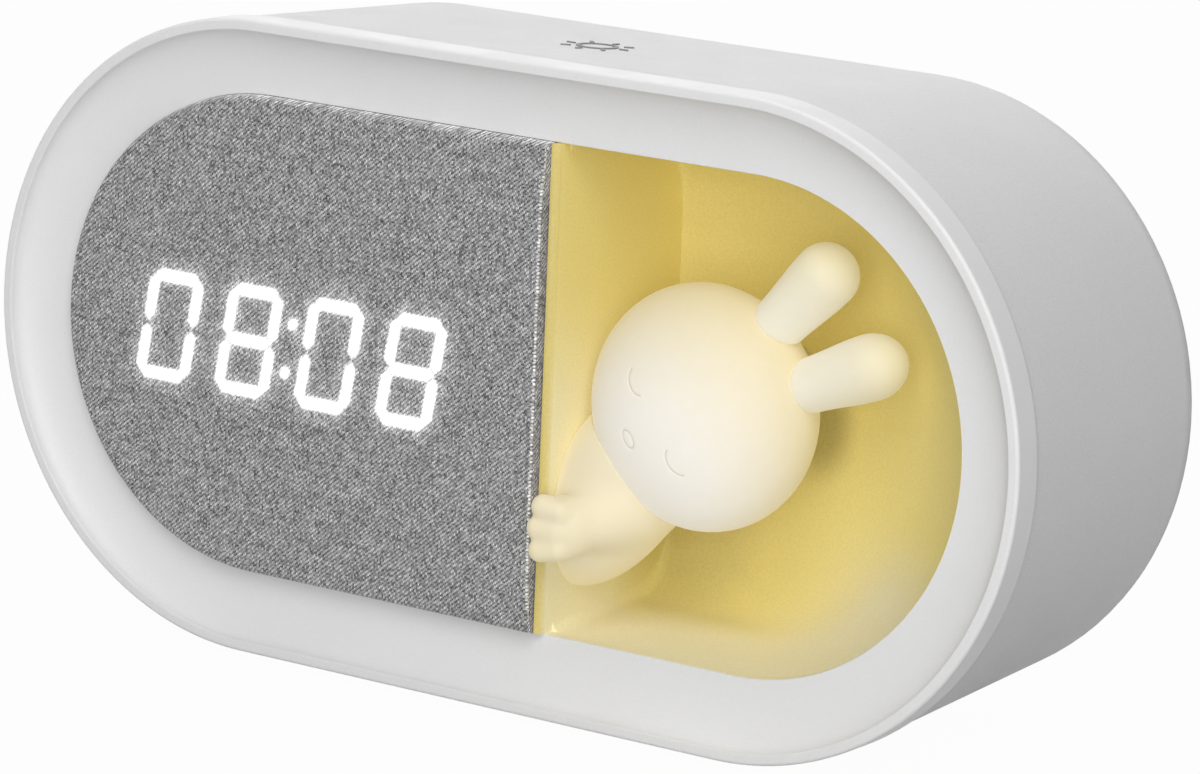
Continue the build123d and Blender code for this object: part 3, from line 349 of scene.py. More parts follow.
def glowing_skin(name, skin, glow, centre, reach_mm, face=False):
    """Soft skin lit from inside, with painted light and shade: colour and glow each run from the edges to a
    heart at a place, the colour darker and yellower at the edges.
    """
    material, tree, shader = new_material(name)
    coordinates = object_coordinates(tree)
    share = fade(tree, distance_from(tree, coordinates, *centre), 0.2 * reach_mm, reach_mm, 1.0, 0.0)
    mottle = remap(tree, noise(tree, coordinates, 1.4, 4.0, 0.6), 0.3, 0.7, -0.04, 0.04)
    share = maths(tree, "ADD", share, mottle)
    skin, glow = mix_colour(tree, share, *skin), mix_colour(tree, share, *glow)
    height = noise(tree, coordinates, 0.3, 2.0)
    if face:
        line = face_lines(tree, coordinates)
        skin = mix_colour(tree, times(tree, line, 0.30), skin, (0.45, 0.33, 0.14))
        glow = mix_colour(tree, times(tree, line, 0.45), glow, (0.05, 0.03, 0.01))
        height = maths(tree, "SUBTRACT", height, times(tree, line, 5.0))
    feed(tree, shader, Base_Color=skin, Emission_Color=glow, Emission_Strength=1.0, Roughness=0.60,
         Normal=raised(tree, height, 0.008, 0.5), Specular_IOR_Level=0.3)
    return material


def niche_plastic(name, wall, lip, pale):
    """Satin yellow plastic with a fine grain and painted light and shade: a painted shadow behind and under
    the head, painted shade on the lip's front, and painted pale light over the floor's front and beside the
    body."""
    beside_body, behind_head, under_head = (PANEL_EDGE, 8.5, -9.0), (31.0, 29.0, -4.0), (12.5, 27.0, -21.0)
    material, tree, shader = new_material(name)
    coordinates = object_coordinates(tree)

    def near(spot, full_mm, end_mm, strength):
        """A strength about a place that fades out with distance."""
        return fade(tree, distance_from(tree, coordinates, *spot), full_mm, end_mm, strength, 0.0)

    parts = add_node(tree, "SeparateXYZ", Vector=coordinates).outputs
    # painted light: a pale pool over the floor's front and one on the left wall beside the body
    low = fade(tree, parts["Z"], MIDDLE_Z - 11.0, MIDDLE_Z - 22.0, 0.0, 1.0)
    ahead = fade(tree, parts["Y"], FRONT_Y + 14.0, FRONT_Y + 27.0, 1.0, 0.0)
    lit = maths(tree, "MAXIMUM", times(tree, low, ahead), near(beside_body, 3.0, 24.0, 0.8))
    colour = mix_colour(tree, lit, wall, pale)
    # painted shade: the left wall's front lip is darkened to cancel the light its rounded front catches
    front = fade(tree, parts["Y"], FRONT_Y + 2.6, FRONT_Y + 3.7, 1.0, 0.0)
    left = maths(tree, "LESS_THAN", parts["X"], (PANEL_EDGE + 0.06) * MM)
    colour = mix_colour(tree, times(tree, front, left), colour, lip)
    # painted shadow on the back wall behind the head and under it, taken off the grain's tone
    shade = maths(tree, "MAXIMUM", near(behind_head, 3.0, 9.0, 0.38), near(under_head, 3.0, 13.0, 0.22))
    grain = noise(tree, coordinates, 0.30, 3.0, 0.6)
    grain_and_painted_shade = maths(tree, "SUBTRACT", remap(tree, grain, 0.25, 0.75, 0.93, 1.07), shade)
    graded = add_node(tree, "VectorMath", operation="SCALE", in_0=colour, Scale=grain_and_painted_shade)
    rough = remap(tree, noise(tree, coordinates, 4.0, 4.0), 0.3, 0.7, 0.50, 0.62)
    feed(tree, shader, Base_Color=graded.outputs[0], Roughness=rough, Normal=raised(tree, grain, 0.010))
    return material


def half_wave(tree, value):
    """A hump from 0 to 1 and back over each whole step of a value."""
    return maths(tree, "SINE", times(tree, maths(tree, "FRACT", value), np.pi))


def cell_chance(tree, **cell):
    """A fixed chance number of 0 to 1 for each cell of the weave."""
    spot = add_node(tree, "CombineXYZ", **cell).outputs[0]
    return add_node(tree, "TexWhiteNoise", noise_dimensions="3D", Vector=spot).outputs["Value"]


def twill(tree, x, z):
    """Tone and height of a two-over-one twill: a warp yarn passes over two wefts and under the third, one
    weft higher in each next column."""
    u, v = maths(tree, "DIVIDE", x, WARP_PITCH * MM), maths(tree, "DIVIDE", z, WEFT_PITCH * MM)
    column, row = maths(tree, "FLOOR", u), maths(tree, "FLOOR", v)
    climb = maths(tree, "SUBTRACT", v, column)
    step = maths(tree, "FLOORED_MODULO", climb, 3.0)
    over = maths(tree, "LESS_THAN", step, 2.0)
    warp = cell_chance(tree, X=column, Y=maths(tree, "FLOOR", maths(tree, "DIVIDE", climb, 3.0)))
    weft = cell_chance(tree, X=column, Y=row, Z=7.0)
    along = maths(tree, "SINE", times(tree, step, np.pi / 2))
    rise = maths(tree, "POWER", maths(tree, "MAXIMUM", along, 0.0), 0.5)
    warp_height = times(tree, rise, half_wave(tree, u))
    weft_height = times(tree, half_wave(tree, v), 0.45)
    height = remap(tree, over, 0.0, 1.0, weft_height, warp_height)
    warp_tone = remap(tree, warp, 0.0, 1.0, TONES[0], TONES[1])
    warp_tone = maths(tree, "ADD", warp_tone, remap(tree, weft, 0.0, 1.0, -TONES[4], TONES[4]))
    weft_tone = remap(tree, weft, 0.0, 1.0, TONES[2], TONES[3])
    tone = remap(tree, over, 0.0, 1.0, weft_tone, warp_tone)
    return times(tree, tone, remap(tree, height, 0.0, 1.0, 0.72, 1.12)), height


def pale_stitches(tree, x, z):
    """The pale yarn row beside the folded edge: short uneven dashes that bow to the edge at both ends."""
    bow = maths(tree, "POWER", maths(tree, "ABSOLUTE", maths(tree, "DIVIDE", z, 30.2 * MM)), 12.0)
    line = remap(tree, bow, 0.0, 1.0, PALE_ROW * MM, (PALE_ROW + 0.9) * MM)
    beside = maths(tree, "ABSOLUTE", maths(tree, "SUBTRACT", x, line))
    dash = maths(tree, "DIVIDE", z, 0.42 * MM)
    number = maths(tree, "FLOOR", dash)
    chance = add_node(tree, "TexWhiteNoise", noise_dimensions="1D", W=number).outputs["Value"]
    pale = fade(tree, beside, 0.05, 0.17, 1.0, 0.0)
    pale = times(tree, pale, remap(tree, half_wave(tree, dash), 0.25, 0.75, 0.0, 1.0, True))
    return times(tree, pale, remap(tree, chance, 0.0, 1.0, 0.15, 0.75))


def melange_cloth(name):
    """Twill of light and dark yarns on the cloth's unrolled places, with the digits' light behind it."""
    material, tree, shader = new_material(name)
    flat = add_node(tree, "Attribute", attribute_name="cloth_flat").outputs["Vector"]
    wander = add_node(tree, "TexNoise", Vector=flat, Scale=1.0 / (2.2 * MM), Detail=2.0).outputs["Color"]
    offset, amount = (-0.05 * MM,) * 3, (0.10 * MM,) * 3
    shift = add_node(tree, "Mapping", Vector=wander, Location=offset, Scale=amount).outputs[0]
    shifted = add_node(tree, "VectorMath", operation="ADD", in_0=flat, in_1=shift).outputs[0]
    yarns = add_node(tree, "SeparateXYZ", Vector=shifted).outputs
    x, z = yarns["X"], yarns["Y"]
    tone, height = twill(tree, x, z)
    slub = add_node(tree, "Mapping", Vector=flat, Scale=(1.0, 3.2, 1.0)).outputs[0]
    drift = remap(tree, noise(tree, slub, 4.5, 4.0, 0.62), 0.3, 0.7, 0.86, 1.14)
    tone = times(tree, tone, drift)
    tone = maths(tree, "ADD", tone, pale_stitches(tree, x, z))
    # painted light: the upper shoulder is made pale, more so the further it rolls back, to lift the shade line
    # where it meets the cove
    places = add_node(tree, "SeparateXYZ", Vector=flat).outputs
    rolled = fade(tree, places["Z"], 0.10, 1.0, 0.0, 1.0)
    rolled = maths(tree, "ADD", rolled, fade(tree, places["Z"], 1.0, 2.0, 0.0, 2.2))
    upper = times(tree, rolled, fade(tree, places["Y"], 20.0, 29.0, 0.0, 0.35))
    tone = times(tree, tone, maths(tree, "ADD", upper, 1.0))
    # the folded side is in its own shade, a little cooler
    side = fade(tree, x, CLOTH_EDGE + 0.05, CLOTH_EDGE + 0.3, 1.0, 0.80)
    tone = times(tree, tone, side)
    # loose fibres lie across the fold
    combed = add_node(tree, "Mapping", Vector=flat, Scale=(0.6, 7.0, 1.0)).outputs[0]
    hair = remap(tree, noise(tree, combed, 1.1, 3.0, 0.7), 0.60, 0.74, 0.0, 0.22, True)
    near = fade(tree, x, CLOTH_EDGE - 0.3, CLOTH_EDGE + 0.1, 0.0, 1.0)
    tone = maths(tree, "ADD", tone, times(tree, hair, near))
    cool = times(tree, tone, remap(tree, side, 0.8, 1.0, 1.10, 1.01))
    colour = add_node(tree, "CombineColor", Red=tone, Green=tone, Blue=cool)
    # the lit bars: a soft-edged core, and a halo that the light yarns catch most
    bar = add_node(tree, "Attribute", attribute_name="bar_distance").outputs["Fac"]
    core = remap(tree, bar, -0.26, 0.34, 1.0, 0.0, True)
    halo = maths(tree, "POWER", remap(tree, bar, 0.0, 2.8, 1.0, 0.0), 2.2)
    veil = times(tree, halo, remap(tree, tone, 0.1, 0.6, 0.12, 0.34))
    feed(tree, shader, Base_Color=colour.outputs[0], Normal=raised(tree, height, 0.05, 0.5), Roughness=0.93,
         Specular_IOR_Level=0.12, Sheen_Weight=0.25, Emission_Color=WHITE,
         Emission_Strength=maths(tree, "ADD", core, veil))
    return material


WHITE_FRAME = moulded("white_frame", (0.80, 0.80, 0.80), 0.48, grain_mm=0.22, grain_depth=0.0030, tone=0.030,
                      drift_mm=20.0, drift=0.008)
WHITE_SHELL = moulded("white_textured_shell", (0.78, 0.78, 0.78), 0.66, grain_mm=0.26, grain_depth=0.010,
                      tone=0.060, drift_mm=16.0, drift=0.008, specular=0.3)
# lip is the painted shade on the left wall's front lip; pale is the painted light over the floor and beside
# the body
YELLOW = niche_plastic("yellow_niche", wall=(0.89, 0.77, 0.305), lip=(0.67, 0.545, 0.18),
                       pale=(0.88, 0.82, 0.57))


def finish(piece, material, body="clock", replaces=()):
    """Gives a new piece its material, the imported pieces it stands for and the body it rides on."""
    piece.data.materials.clear()
    piece.data.materials.append(material)
    if replaces:
        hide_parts(*replaces)
    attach(piece, body)
    return piece


# ---- camera and light

CAMERA_PLACE, CAMERA_LENS = (410.992, -562.620, 152.364), 177.355
CAMERA_RIGHT = np.array([0.81400735, 0.57952826, 0.03923039])
CAMERA_UP = np.array([-0.15502787, 0.15167026, 0.97619798])


def turned(right, up, back):
    """A turn whose three axes are given."""
    return Matrix(np.column_stack([right, up, back]).tolist()).to_4x4()


camera_data = bpy.data.cameras.new("camera")
camera_data.sensor_width = 36.0
camera_data.lens = CAMERA_LENS
camera_data.clip_start, camera_data.clip_end = 0.01, 20.0
camera = bpy.data.objects.new("camera", camera_data)
turn = turned(CAMERA_RIGHT, CAMERA_UP, np.cross(CAMERA_RIGHT, CAMERA_UP))
camera.matrix_world = Matrix.Translation(place(*CAMERA_PLACE).tolist()) @ turn
scene.collection.objects.link(camera)
scene.camera = camera

LAMP_DISTANCE, LAMP_SIZE = 1.0, 0.6


def soft_lamp(name, towards, power):
    """A square lamp at a distance from the clock, facing it."""
    lamp = bpy.data.lights.new(name, "AREA")
    lamp.shape, lamp.size, lamp.energy = "SQUARE", LAMP_SIZE, power
    holder = bpy.data.objects.new(name, lamp)
    towards = np.array(towards, float) / np.linalg.norm(towards)
    right = np.cross([0.0, 0.0, 1.0], towards)
    right = right / np.linalg.norm(right)
    spot = np.array([0.0, 0.0, MIDDLE_Z * MM]) + towards * LAMP_DISTANCE
    turn = turned(right, np.cross(towards, right), towards)
    holder.matrix_world = Matrix.Translation(spot.tolist()) @ turn
    scene.collection.objects.link(holder)


soft_lamp("top_lamp", (-0.45, 0.2, 1.0), 4.0)
soft_lamp("key_lamp", (0.5, -0.8, 0.8), 4.5)
soft_lamp("front_lamp", (0.58, -1.0, 0.05), 5.4)
soft_lamp("back_lamp", (-0.5, 1.0, 0.4), 1.2)


def seen_directly(tree):
    """1 for rays from the camera, off gloss or through glass, 0 for soft light."""
    rays = add_node(tree, "LightPath").outputs
    seen = maths(tree, "MAXIMUM", rays["Is Camera Ray"], rays["Is Glossy Ray"])
    return maths(tree, "MAXIMUM", seen, rays["Is Transmission Ray"])


SKY_LIGHT, FLOOR_TONE, FLOOR_WHITE = 0.14, 0.55, 0.97
world = bpy.data.worlds.new("studio")
scene.world = world
world.use_nodes = True
tree = world.node_tree
tree.nodes.clear()
strength = remap(tree, seen_directly(tree), 0.0, 1.0, SKY_LIGHT, 1.0)
background = add_node(tree, "Background", Color=WHITE, Strength=strength)
add_node(tree, "OutputWorld", Surface=background.outputs[0])

floor_half = 3.0
floor_points = np.array([[-1, -1, 0], [1, -1, 0], [1, 1, 0], [-1, 1, 0]]) * floor_half
floor = mesh_object("floor", floor_points, np.array([[0, 1, 2, 3]]))
floor_material, tree, shader = new_material("pale_floor")
floor_colour = (FLOOR_TONE, FLOOR_TONE, FLOOR_TONE, 1.0)
feed(tree, shader, Base_Color=floor_colour, Roughness=0.9, Specular_IOR_Level=0.0)
white = add_node(tree, "Emission", Color=WHITE, Strength=1.0)
share = times(tree, seen_directly(tree), FLOOR_WHITE)
blend = add_node(tree, "MixShader", in_0=share, in_1=shader.outputs[0], in_2=white.outputs[0])
feed(tree, tree.nodes["Material Output"], Surface=blend.outputs[0])
floor.data.materials.append(floor_material)

# ---- front frame


def front_frame():
    """Rim lip, hollow quarter-ellipse cove, flange, spigot and skirt, with every outer edge rounded."""
    edge, nose = 0.45, 0.35
    flange, spigot_back, spigot_out, spigot_in = 5.1, 8.0, 2.8, 4.2
    profile = np.concatenate([
        arc((edge, edge), (edge, edge), 180, 270, 8),
        [(edge + 0.06, 0.0), (RIM_WIDTH - 0.31, 0.0), (RIM_WIDTH - 0.25, 0.0)],
        arc((RIM_WIDTH - 0.15, 0.18), (0.18, 0.18), 270, 330, 5),
        arc((OPENING, 0.0), (COVE_WIDTH, COVE_DEPTH), 174, 90, 40),
        [(OPENING + 0.05, COVE_DEPTH + 0.1), (OPENING + 0.05, flange - 0.05), (OPENING, flange)],
        [(spigot_in, flange), (spigot_in, spigot_back), (spigot_out, spigot_back), (spigot_out, SEAM_DEPTH)],
        [(nose + 0.1, SEAM_DEPTH), (nose, SEAM_DEPTH)],
        arc((nose, SEAM_DEPTH - nose), (nose, nose), 90, 180, 8),
        [(0.0, SEAM_DEPTH - nose - 0.1), (0.0, edge + 0.1)],
    ])
    return ring_surface(swept_ring(profile))


frame_piece = mesh_object("front_frame", *front_frame(), smooth_angle=30)
finish(frame_piece, WHITE_FRAME, replaces=["front_bezel"])

# ---- cloth panel and its light

LIT_BARS = {"0": "abcdef", "8": "abcdefg"}
BARS = {"a": (0, 1, True), "g": (0, 0, True), "d": (0, -1, True), "b": (1, 0.5, False), "c": (1, -0.5, False),
        "f": (-1, 0.5, False), "e": (-1, -0.5, False)}


def bar_distance(x, z):
    """Distance in millimetres to the nearest lit bar: a bar is a stretched hexagon in leaning coordinates."""
    best = np.full(x.shape, NO_LIGHT)
    half_x, half_z = (DIGIT_WIDTH - DIGIT_STROKE) / 2, (DIGIT_HEIGHT - DIGIT_STROKE) / 2
    z = z - DIGIT_Z
    x = x - DIGIT_X - z * np.tan(np.radians(DIGIT_LEAN))
    for place_in_row, digit in enumerate(SHOWN):
        local = x - (place_in_row - 1.5) * DIGIT_PITCH
        for bar in LIT_BARS[digit]:
            side, level, lying = BARS[bar]
            u, v = local - side * half_x, z - level * half_z
            u, v = (u, v) if lying else (v, u)
            length = (half_x if lying else half_z / 2) - DIGIT_GAP
            ahead = np.abs(u) + np.where(u * level < 0, 0.0 if lying else DIGIT_SPLIT, 0.0)
            slant = (ahead + np.abs(v) - length) * np.sqrt(0.5)
            best = np.minimum(best, np.maximum(np.abs(v) - DIGIT_STROKE / 2, slant))
    for rise in (-COLON_RISE, COLON_RISE):
        best = np.minimum(best, np.hypot(x, z - rise) - COLON_RADIUS)
    return best


def cloth_panel():
    """A D-shaped sheet: rows across at a height, an elliptical shoulder along the outline and a tight fold at
    the right, then carried back round the plate."""
    clearance, row_step = 0.06, 0.27
    top, left_end = END_RADIUS - OPENING - clearance, -HALF_RUN
    face, rounding, shoulder, back = 1.0, 1.0, 2.3, 3.6
    bend = np.concatenate([[0.0], 1 - np.cos(np.radians(np.linspace(14, 90, 7)))]) * rounding

    def spaced(low, high):
        """Even steps between two ends, with the shoulder's finer ones at each end."""
        inner = np.linspace(low + rounding, high - rounding, int((high - low) / row_step))
        return np.concatenate([low + bend, inner[1:-1], (high - bend)[::-1]])

    width = CLOTH_EDGE - left_end + top
    z = spaced(-top, top)
    u = spaced(0.0, width) / width
    left = left_end - np.sqrt(np.maximum(top**2 - z**2, 0.0))
    x = left[:, None] + u[None, :] * (CLOTH_EDGE - left)[:, None]
    z = np.broadcast_to(z[:, None], x.shape)
    outward = np.where(x < left_end, top - np.hypot(x - left_end, z), top - np.abs(z))
    inset, fold = np.clip(outward, 0, rounding), np.clip(CLOTH_EDGE - x, 0, FOLD_ROUND)
    depth = face + shoulder * (1 - np.sqrt(np.maximum(1 - (1 - inset / rounding) ** 2, 0)))
    folded = face + FOLD_ROUND - np.sqrt(np.maximum(FOLD_ROUND**2 - (FOLD_ROUND - fold) ** 2, 0))
    depth = np.maximum(depth, folded)
    rows, columns = x.shape
    index = np.arange(rows * columns).reshape(rows, columns)
    loop = np.concatenate([index[0, :-1], index[:-1, -1], index[-1, :0:-1], index[:0:-1, 0]])
    rim = np.stack([x.ravel()[loop], z.ravel()[loop]], -1)
    inward = np.where(rim[:, :1] < left_end, rim - [left_end, 0.0], rim * [0.0, 1.0])
    inward = inward / np.maximum(np.linalg.norm(inward, axis=1, keepdims=True), 1e-6)
    inward = np.where((rim[:, :1] > CLOTH_EDGE - 0.01), [1.0, 0.0], inward)
    points, faces = [place(x, depth, z).reshape(-1, 3)], [grid_faces(rows, columns)]
    flat = [np.stack([x.ravel(), z.ravel()], -1)]
    edge, last = loop, face + FOLD_ROUND
    turned_in = ((back - 0.07, 0.08), (back, 0.3), (back, 2.5), (back - 0.6, 2.5))
    for depth_back, pull in ((back - 0.27, 0.0), (back - 0.18, 0.0), *turned_in):
        ring = rim - inward * pull
        start = sum(len(p) for p in points)
        points.append(place(ring[:, 0], depth_back, ring[:, 1]))
        flat.append(rim + inward * (depth_back - last + pull))
        new = start + np.arange(len(loop))
        faces.append(np.stack([edge, np.roll(edge, -1), np.roll(new, -1), new], -1)[:, ::-1])
        edge = new
    points = np.concatenate(points)
    piece = mesh_object("cloth_panel", points, np.concatenate(faces), smooth_angle=60)
    mm = points / MM
    glow = piece.data.attributes.new("bar_distance", "FLOAT", "POINT")
    on_face = mm[:, 1] - FRONT_Y < face + 0.02
    distance = np.where(on_face, bar_distance(mm[:, 0], mm[:, 2] - MIDDLE_Z), NO_LIGHT)
    glow.data.foreach_set("value", distance.astype(np.float32))
    unrolled = np.concatenate(flat) * MM
    weave = piece.data.attributes.new("cloth_flat", "FLOAT_VECTOR", "POINT")
    behind = points[:, 1:2] - (FRONT_Y + face) * MM
    weave.data.foreach_set("vector", np.concatenate([unrolled, behind], 1).astype(np.float32).ravel())
    return piece


cloth = cloth_panel()
finish(cloth, melange_cloth("melange_cloth"), replaces=["fabric_cover"])

# ---- yellow niche


def niche_sections(grow, corner=1.5, rows=40, end_steps=72, wall_steps=16):
    """Sections of a D from the rim back: the reach follows a circle, the height a draft and a round back."""
    draft = 3.5
    floor_x, top = PANEL_EDGE + NICHE_FLAT, END_RADIUS - OPENING
    full_reach = HALF_RUN + top
    rim_angle = np.arcsin((full_reach - floor_x) / NICHE_RADIUS)
    angle = rim_angle * (1 - np.linspace(0, 1, rows) ** 0.8)
    share = 1 - (1 - np.cos(angle)) / (1 - np.cos(rim_angle))
    rise = NICHE_DEPTH - NICHE_FRONT
    into = np.maximum(0, NICHE_FRONT + share * rise - (NICHE_DEPTH - NICHE_ROUND))
    drop = NICHE_ROUND - np.sqrt(NICHE_ROUND**2 - into**2)
    half = top - share * rise * np.tan(np.radians(draft)) - drop + grow
    reach = floor_x + NICHE_RADIUS * np.sin(angle)
    end = (reach - PANEL_EDGE) * top / (full_reach - PANEL_EDGE) + grow
    start = reach + grow - end
    left, corner = PANEL_EDGE - grow, corner + max(grow, 0.0)
    depth = NICHE_FRONT + share * (rise + grow)
    half, end, start, depth = (v[:, None] for v in (half, end, start, depth))
    turn = np.radians(np.linspace(90, -90, end_steps))[None, :]
    run = np.linspace(0, 1, wall_steps)[None, 1:-1]
    small = np.radians(np.linspace(0, 90, 7))[None, :]
    x = np.concatenate([
        left + corner + run * (start - left - corner),
        start + end * np.cos(turn),
        start + run * (left + corner - start),
        left + corner * (1 - np.sin(small)) + 0 * start,
        left + 0 * run + 0 * start,
        left + corner * (1 - np.cos(small)) + 0 * start,
    ], 1)
    z = np.concatenate([
        half + 0 * run,
        half * np.sin(turn),
        -half + 0 * run,
        -half + corner * (1 - np.cos(small)),
        (corner - half) + run * 2 * (half - corner),
        half - corner * (1 - np.sin(small)),
    ], 1)
    return place(x, depth + 0 * x, z)


def revolved(profile, x, z, steps=64):
    """A profile of (radius, depth) turned about a line from front to back, closed round itself."""
    angle = np.linspace(0, 2 * np.pi, steps, endpoint=False)
    radius, depth = profile[:, 0], profile[:, 1]
    points = place(x + radius * np.cos(angle)[:, None], depth[None, :], z + radius * np.sin(angle)[:, None])
    return ring_surface(points)


def block(x0, x1, d0, d1, z0, z1, bevel=0.15):
    """A box with its four long edges cut off, as an eight-sided loop at both ends and a cap over each."""
    b = bevel
    lower = [(x0 + b, z0), (x1 - b, z0), (x1, z0 + b), (x1, z1 - b)]
    upper = [(x1 - b, z1), (x0 + b, z1), (x0, z1 - b), (x0, z0 + b)]
    loop = np.array(lower + upper)
    rows = np.stack([place(loop[:, 0], d, loop[:, 1]) for d in (d1, d0)])
    return capped_surface(rows)


def front_lip():
    """The left wall's front edge: a bar whose section is a block with a step behind the cloth and a rounded
    front corner."""
    left, step, front, half_height, round_mm = 6.8, 7.4, 2.5, 30.2, 0.9
    round_edge = arc((PANEL_EDGE - round_mm, front + round_mm), (round_mm, round_mm), 0, -90, 12)
    foot = [(left, NICHE_FRONT), (PANEL_EDGE, NICHE_FRONT)]
    behind = [(step + 0.1, front), (step, front + 0.1), (step, 3.7), (left, 3.7)]
    section = np.concatenate([foot, round_edge, behind])
    rows = np.stack([place(section[:, 0], section[:, 1], z) for z in (-half_height, half_height)])
    return capped_surface(rows)


def niche_shell():
    """Inner and outer D-shaped skins joined at the front edge by a thin collar that lines the frame's
    opening, bored at the back for the light stem, with its pad, posts, front lip and tabs."""
    inside, outside = -0.10, -0.07
    collar_rows = ((inside, NICHE_FRONT - 0.07), (inside, COLLAR_FRONT), (outside, COLLAR_FRONT),
                   (outside, NICHE_FRONT - 0.08))
    collar = [niche_sections(grow, 0.25)[:1].copy() for grow, _ in collar_rows]
    for ring, (_, depth) in zip(collar, collar_rows):
        ring[..., 0] -= np.where(ring[..., 0] < (PANEL_EDGE + 0.4) * MM, 0.25 * MM, 0.0)
        ring[..., 1] = (FRONT_Y + depth) * MM
    skins = np.concatenate([niche_sections(0.0)[::-1], *collar, niche_sections(NICHE_WALL)])
    shell = mesh_object("niche_shell", *capped_surface(skins))
    rod = np.array([(0.01, 24.0), (STEM_HOLE, 24.0), (STEM_HOLE, 40.0), (0.01, 40.0)])
    drill = mesh_object("drill", *revolved(rod, HEAD_X, HEAD_Z, 96))
    cut = shell.modifiers.new("bore", "BOOLEAN")
    cut.object, cut.solver = drill, "EXACT"
    bored = bpy.data.meshes.new_from_object(shell.evaluated_get(bpy.context.evaluated_depsgraph_get()))
    for used in (shell, drill):
        bpy.data.objects.remove(used)
    pad_front, pad_back, pad_radius, well_radius = 30.9, 33.0, 11.0, 7.65
    pad = np.array([(STEM_HOLE, pad_front), (pad_radius, pad_front), (pad_radius, pad_back - 0.1),
                    (pad_radius - 0.1, pad_back), (well_radius, pad_back), (well_radius, pad_back - 1.0),
                    (STEM_HOLE, pad_back - 1.0)])
    post = np.array([(1.2, 19.6), (3.4, 19.6), (3.4, 25.9), (3.3, 26.0), (1.2, 26.0)])
    post_x, post_z, tab_depths = 46.0, 24.0, (5.2, 6.8)
    tabs = [(17.4, 22.6, *tab_depths, 30.5, 35.3), (17.4, 22.6, *tab_depths, -35.3, -30.5),
            (66.6, 71.3, *tab_depths, -2.6, 2.6)]
    posts = [revolved(post, post_x, z, 40) for z in (-post_z, post_z)]
    piece = mesh_object("niche_shell", *join(revolved(pad, HEAD_X, HEAD_Z), *posts, front_lip(),
                                             *[block(*sizes) for sizes in tabs]))
    both = bmesh.new()
    both.from_mesh(bored)
    both.from_mesh(piece.data)
    both.to_mesh(piece.data)
    both.free()
    piece.data.polygons.foreach_set("use_smooth", np.ones(len(piece.data.polygons), bool))
    piece.data.set_sharp_from_angle(angle=np.radians(35))
    return piece


finish(niche_shell(), YELLOW, replaces=["niche_liner"])

# ---- rabbit figure


def stroke_distance(p, q, points):
    """Distance from places (p, q) to a line of straight runs through points."""
    best = np.full(p.shape, 99.0)
    for (p0, q0), (p1, q1) in zip(points[:-1], points[1:]):
        dp, dq = p1 - p0, q1 - q0
        t = np.clip(((p - p0) * dp + (q - q0) * dq) / (dp * dp + dq * dq), 0, 1)
        best = np.minimum(best, np.hypot(p - p0 - t * dp, q - q0 - t * dq))
    return best


def face_groove(x, z):
    """Depth of the fine moulded face lines: two closed, curved eyes and a small rounded nose."""
    up = (x - HEAD_X) * ALONG[0] + (z - HEAD_Z) * ALONG[1]
    side = (x - HEAD_X) * ASIDE[0] + (z - HEAD_Z) * ASIDE[1]
    angle = np.linspace(-LID_ARC, LID_ARC, 9)
    best = np.full(x.shape, 99.0)
    for middle in (-LID_SIDE, LID_SIDE):
        lid = np.stack([LID_UP - LID_HALVES[0] * np.cos(angle), middle + LID_HALVES[1] * np.sin(angle)], -1)
        best = np.minimum(best, stroke_distance(up, side, lid))
    nose = np.abs(np.hypot((up - NOSE_UP) / NOSE_HALVES[0], side / NOSE_HALVES[1]) - 1.0) * 0.8
    best = np.minimum(best, nose)
    line_depth, line_half_width = 0.11, 0.17
    return line_depth * np.exp(-((best / line_half_width) ** 2))


def head_shell():
    """Flattened ball with a hollow inside and a round hole at the back for its stem."""
    columns = np.linspace(0, 2 * np.pi, 288, endpoint=False)

    def skin(shrink, count):
        """Radius and depth of half an ellipse, from the front pole to the hole."""
        radius, half = HEAD_RADIUS - shrink, HEAD_HALF_DEPTH - shrink
        last = np.pi - np.arcsin(STEM_HOLE / radius)
        angle = np.linspace(0.004, last, count)
        return radius * np.sin(angle), HEAD_DEPTH - half * np.cos(angle)

    outer, inner = skin(0.0, 200), skin(HEAD_WALL, 40)
    radius = np.concatenate([outer[0], inner[0][::-1]])
    depth = np.concatenate([outer[1], inner[1][::-1]])
    x = HEAD_X + radius[:, None] * np.cos(columns)
    z = HEAD_Z + radius[:, None] * np.sin(columns)
    depth = np.broadcast_to(depth[:, None], x.shape).copy()
    front = np.arange(len(radius)) < 100
    depth[front] += face_groove(x[front], z[front])
    return capped_surface(place(x, depth, z))


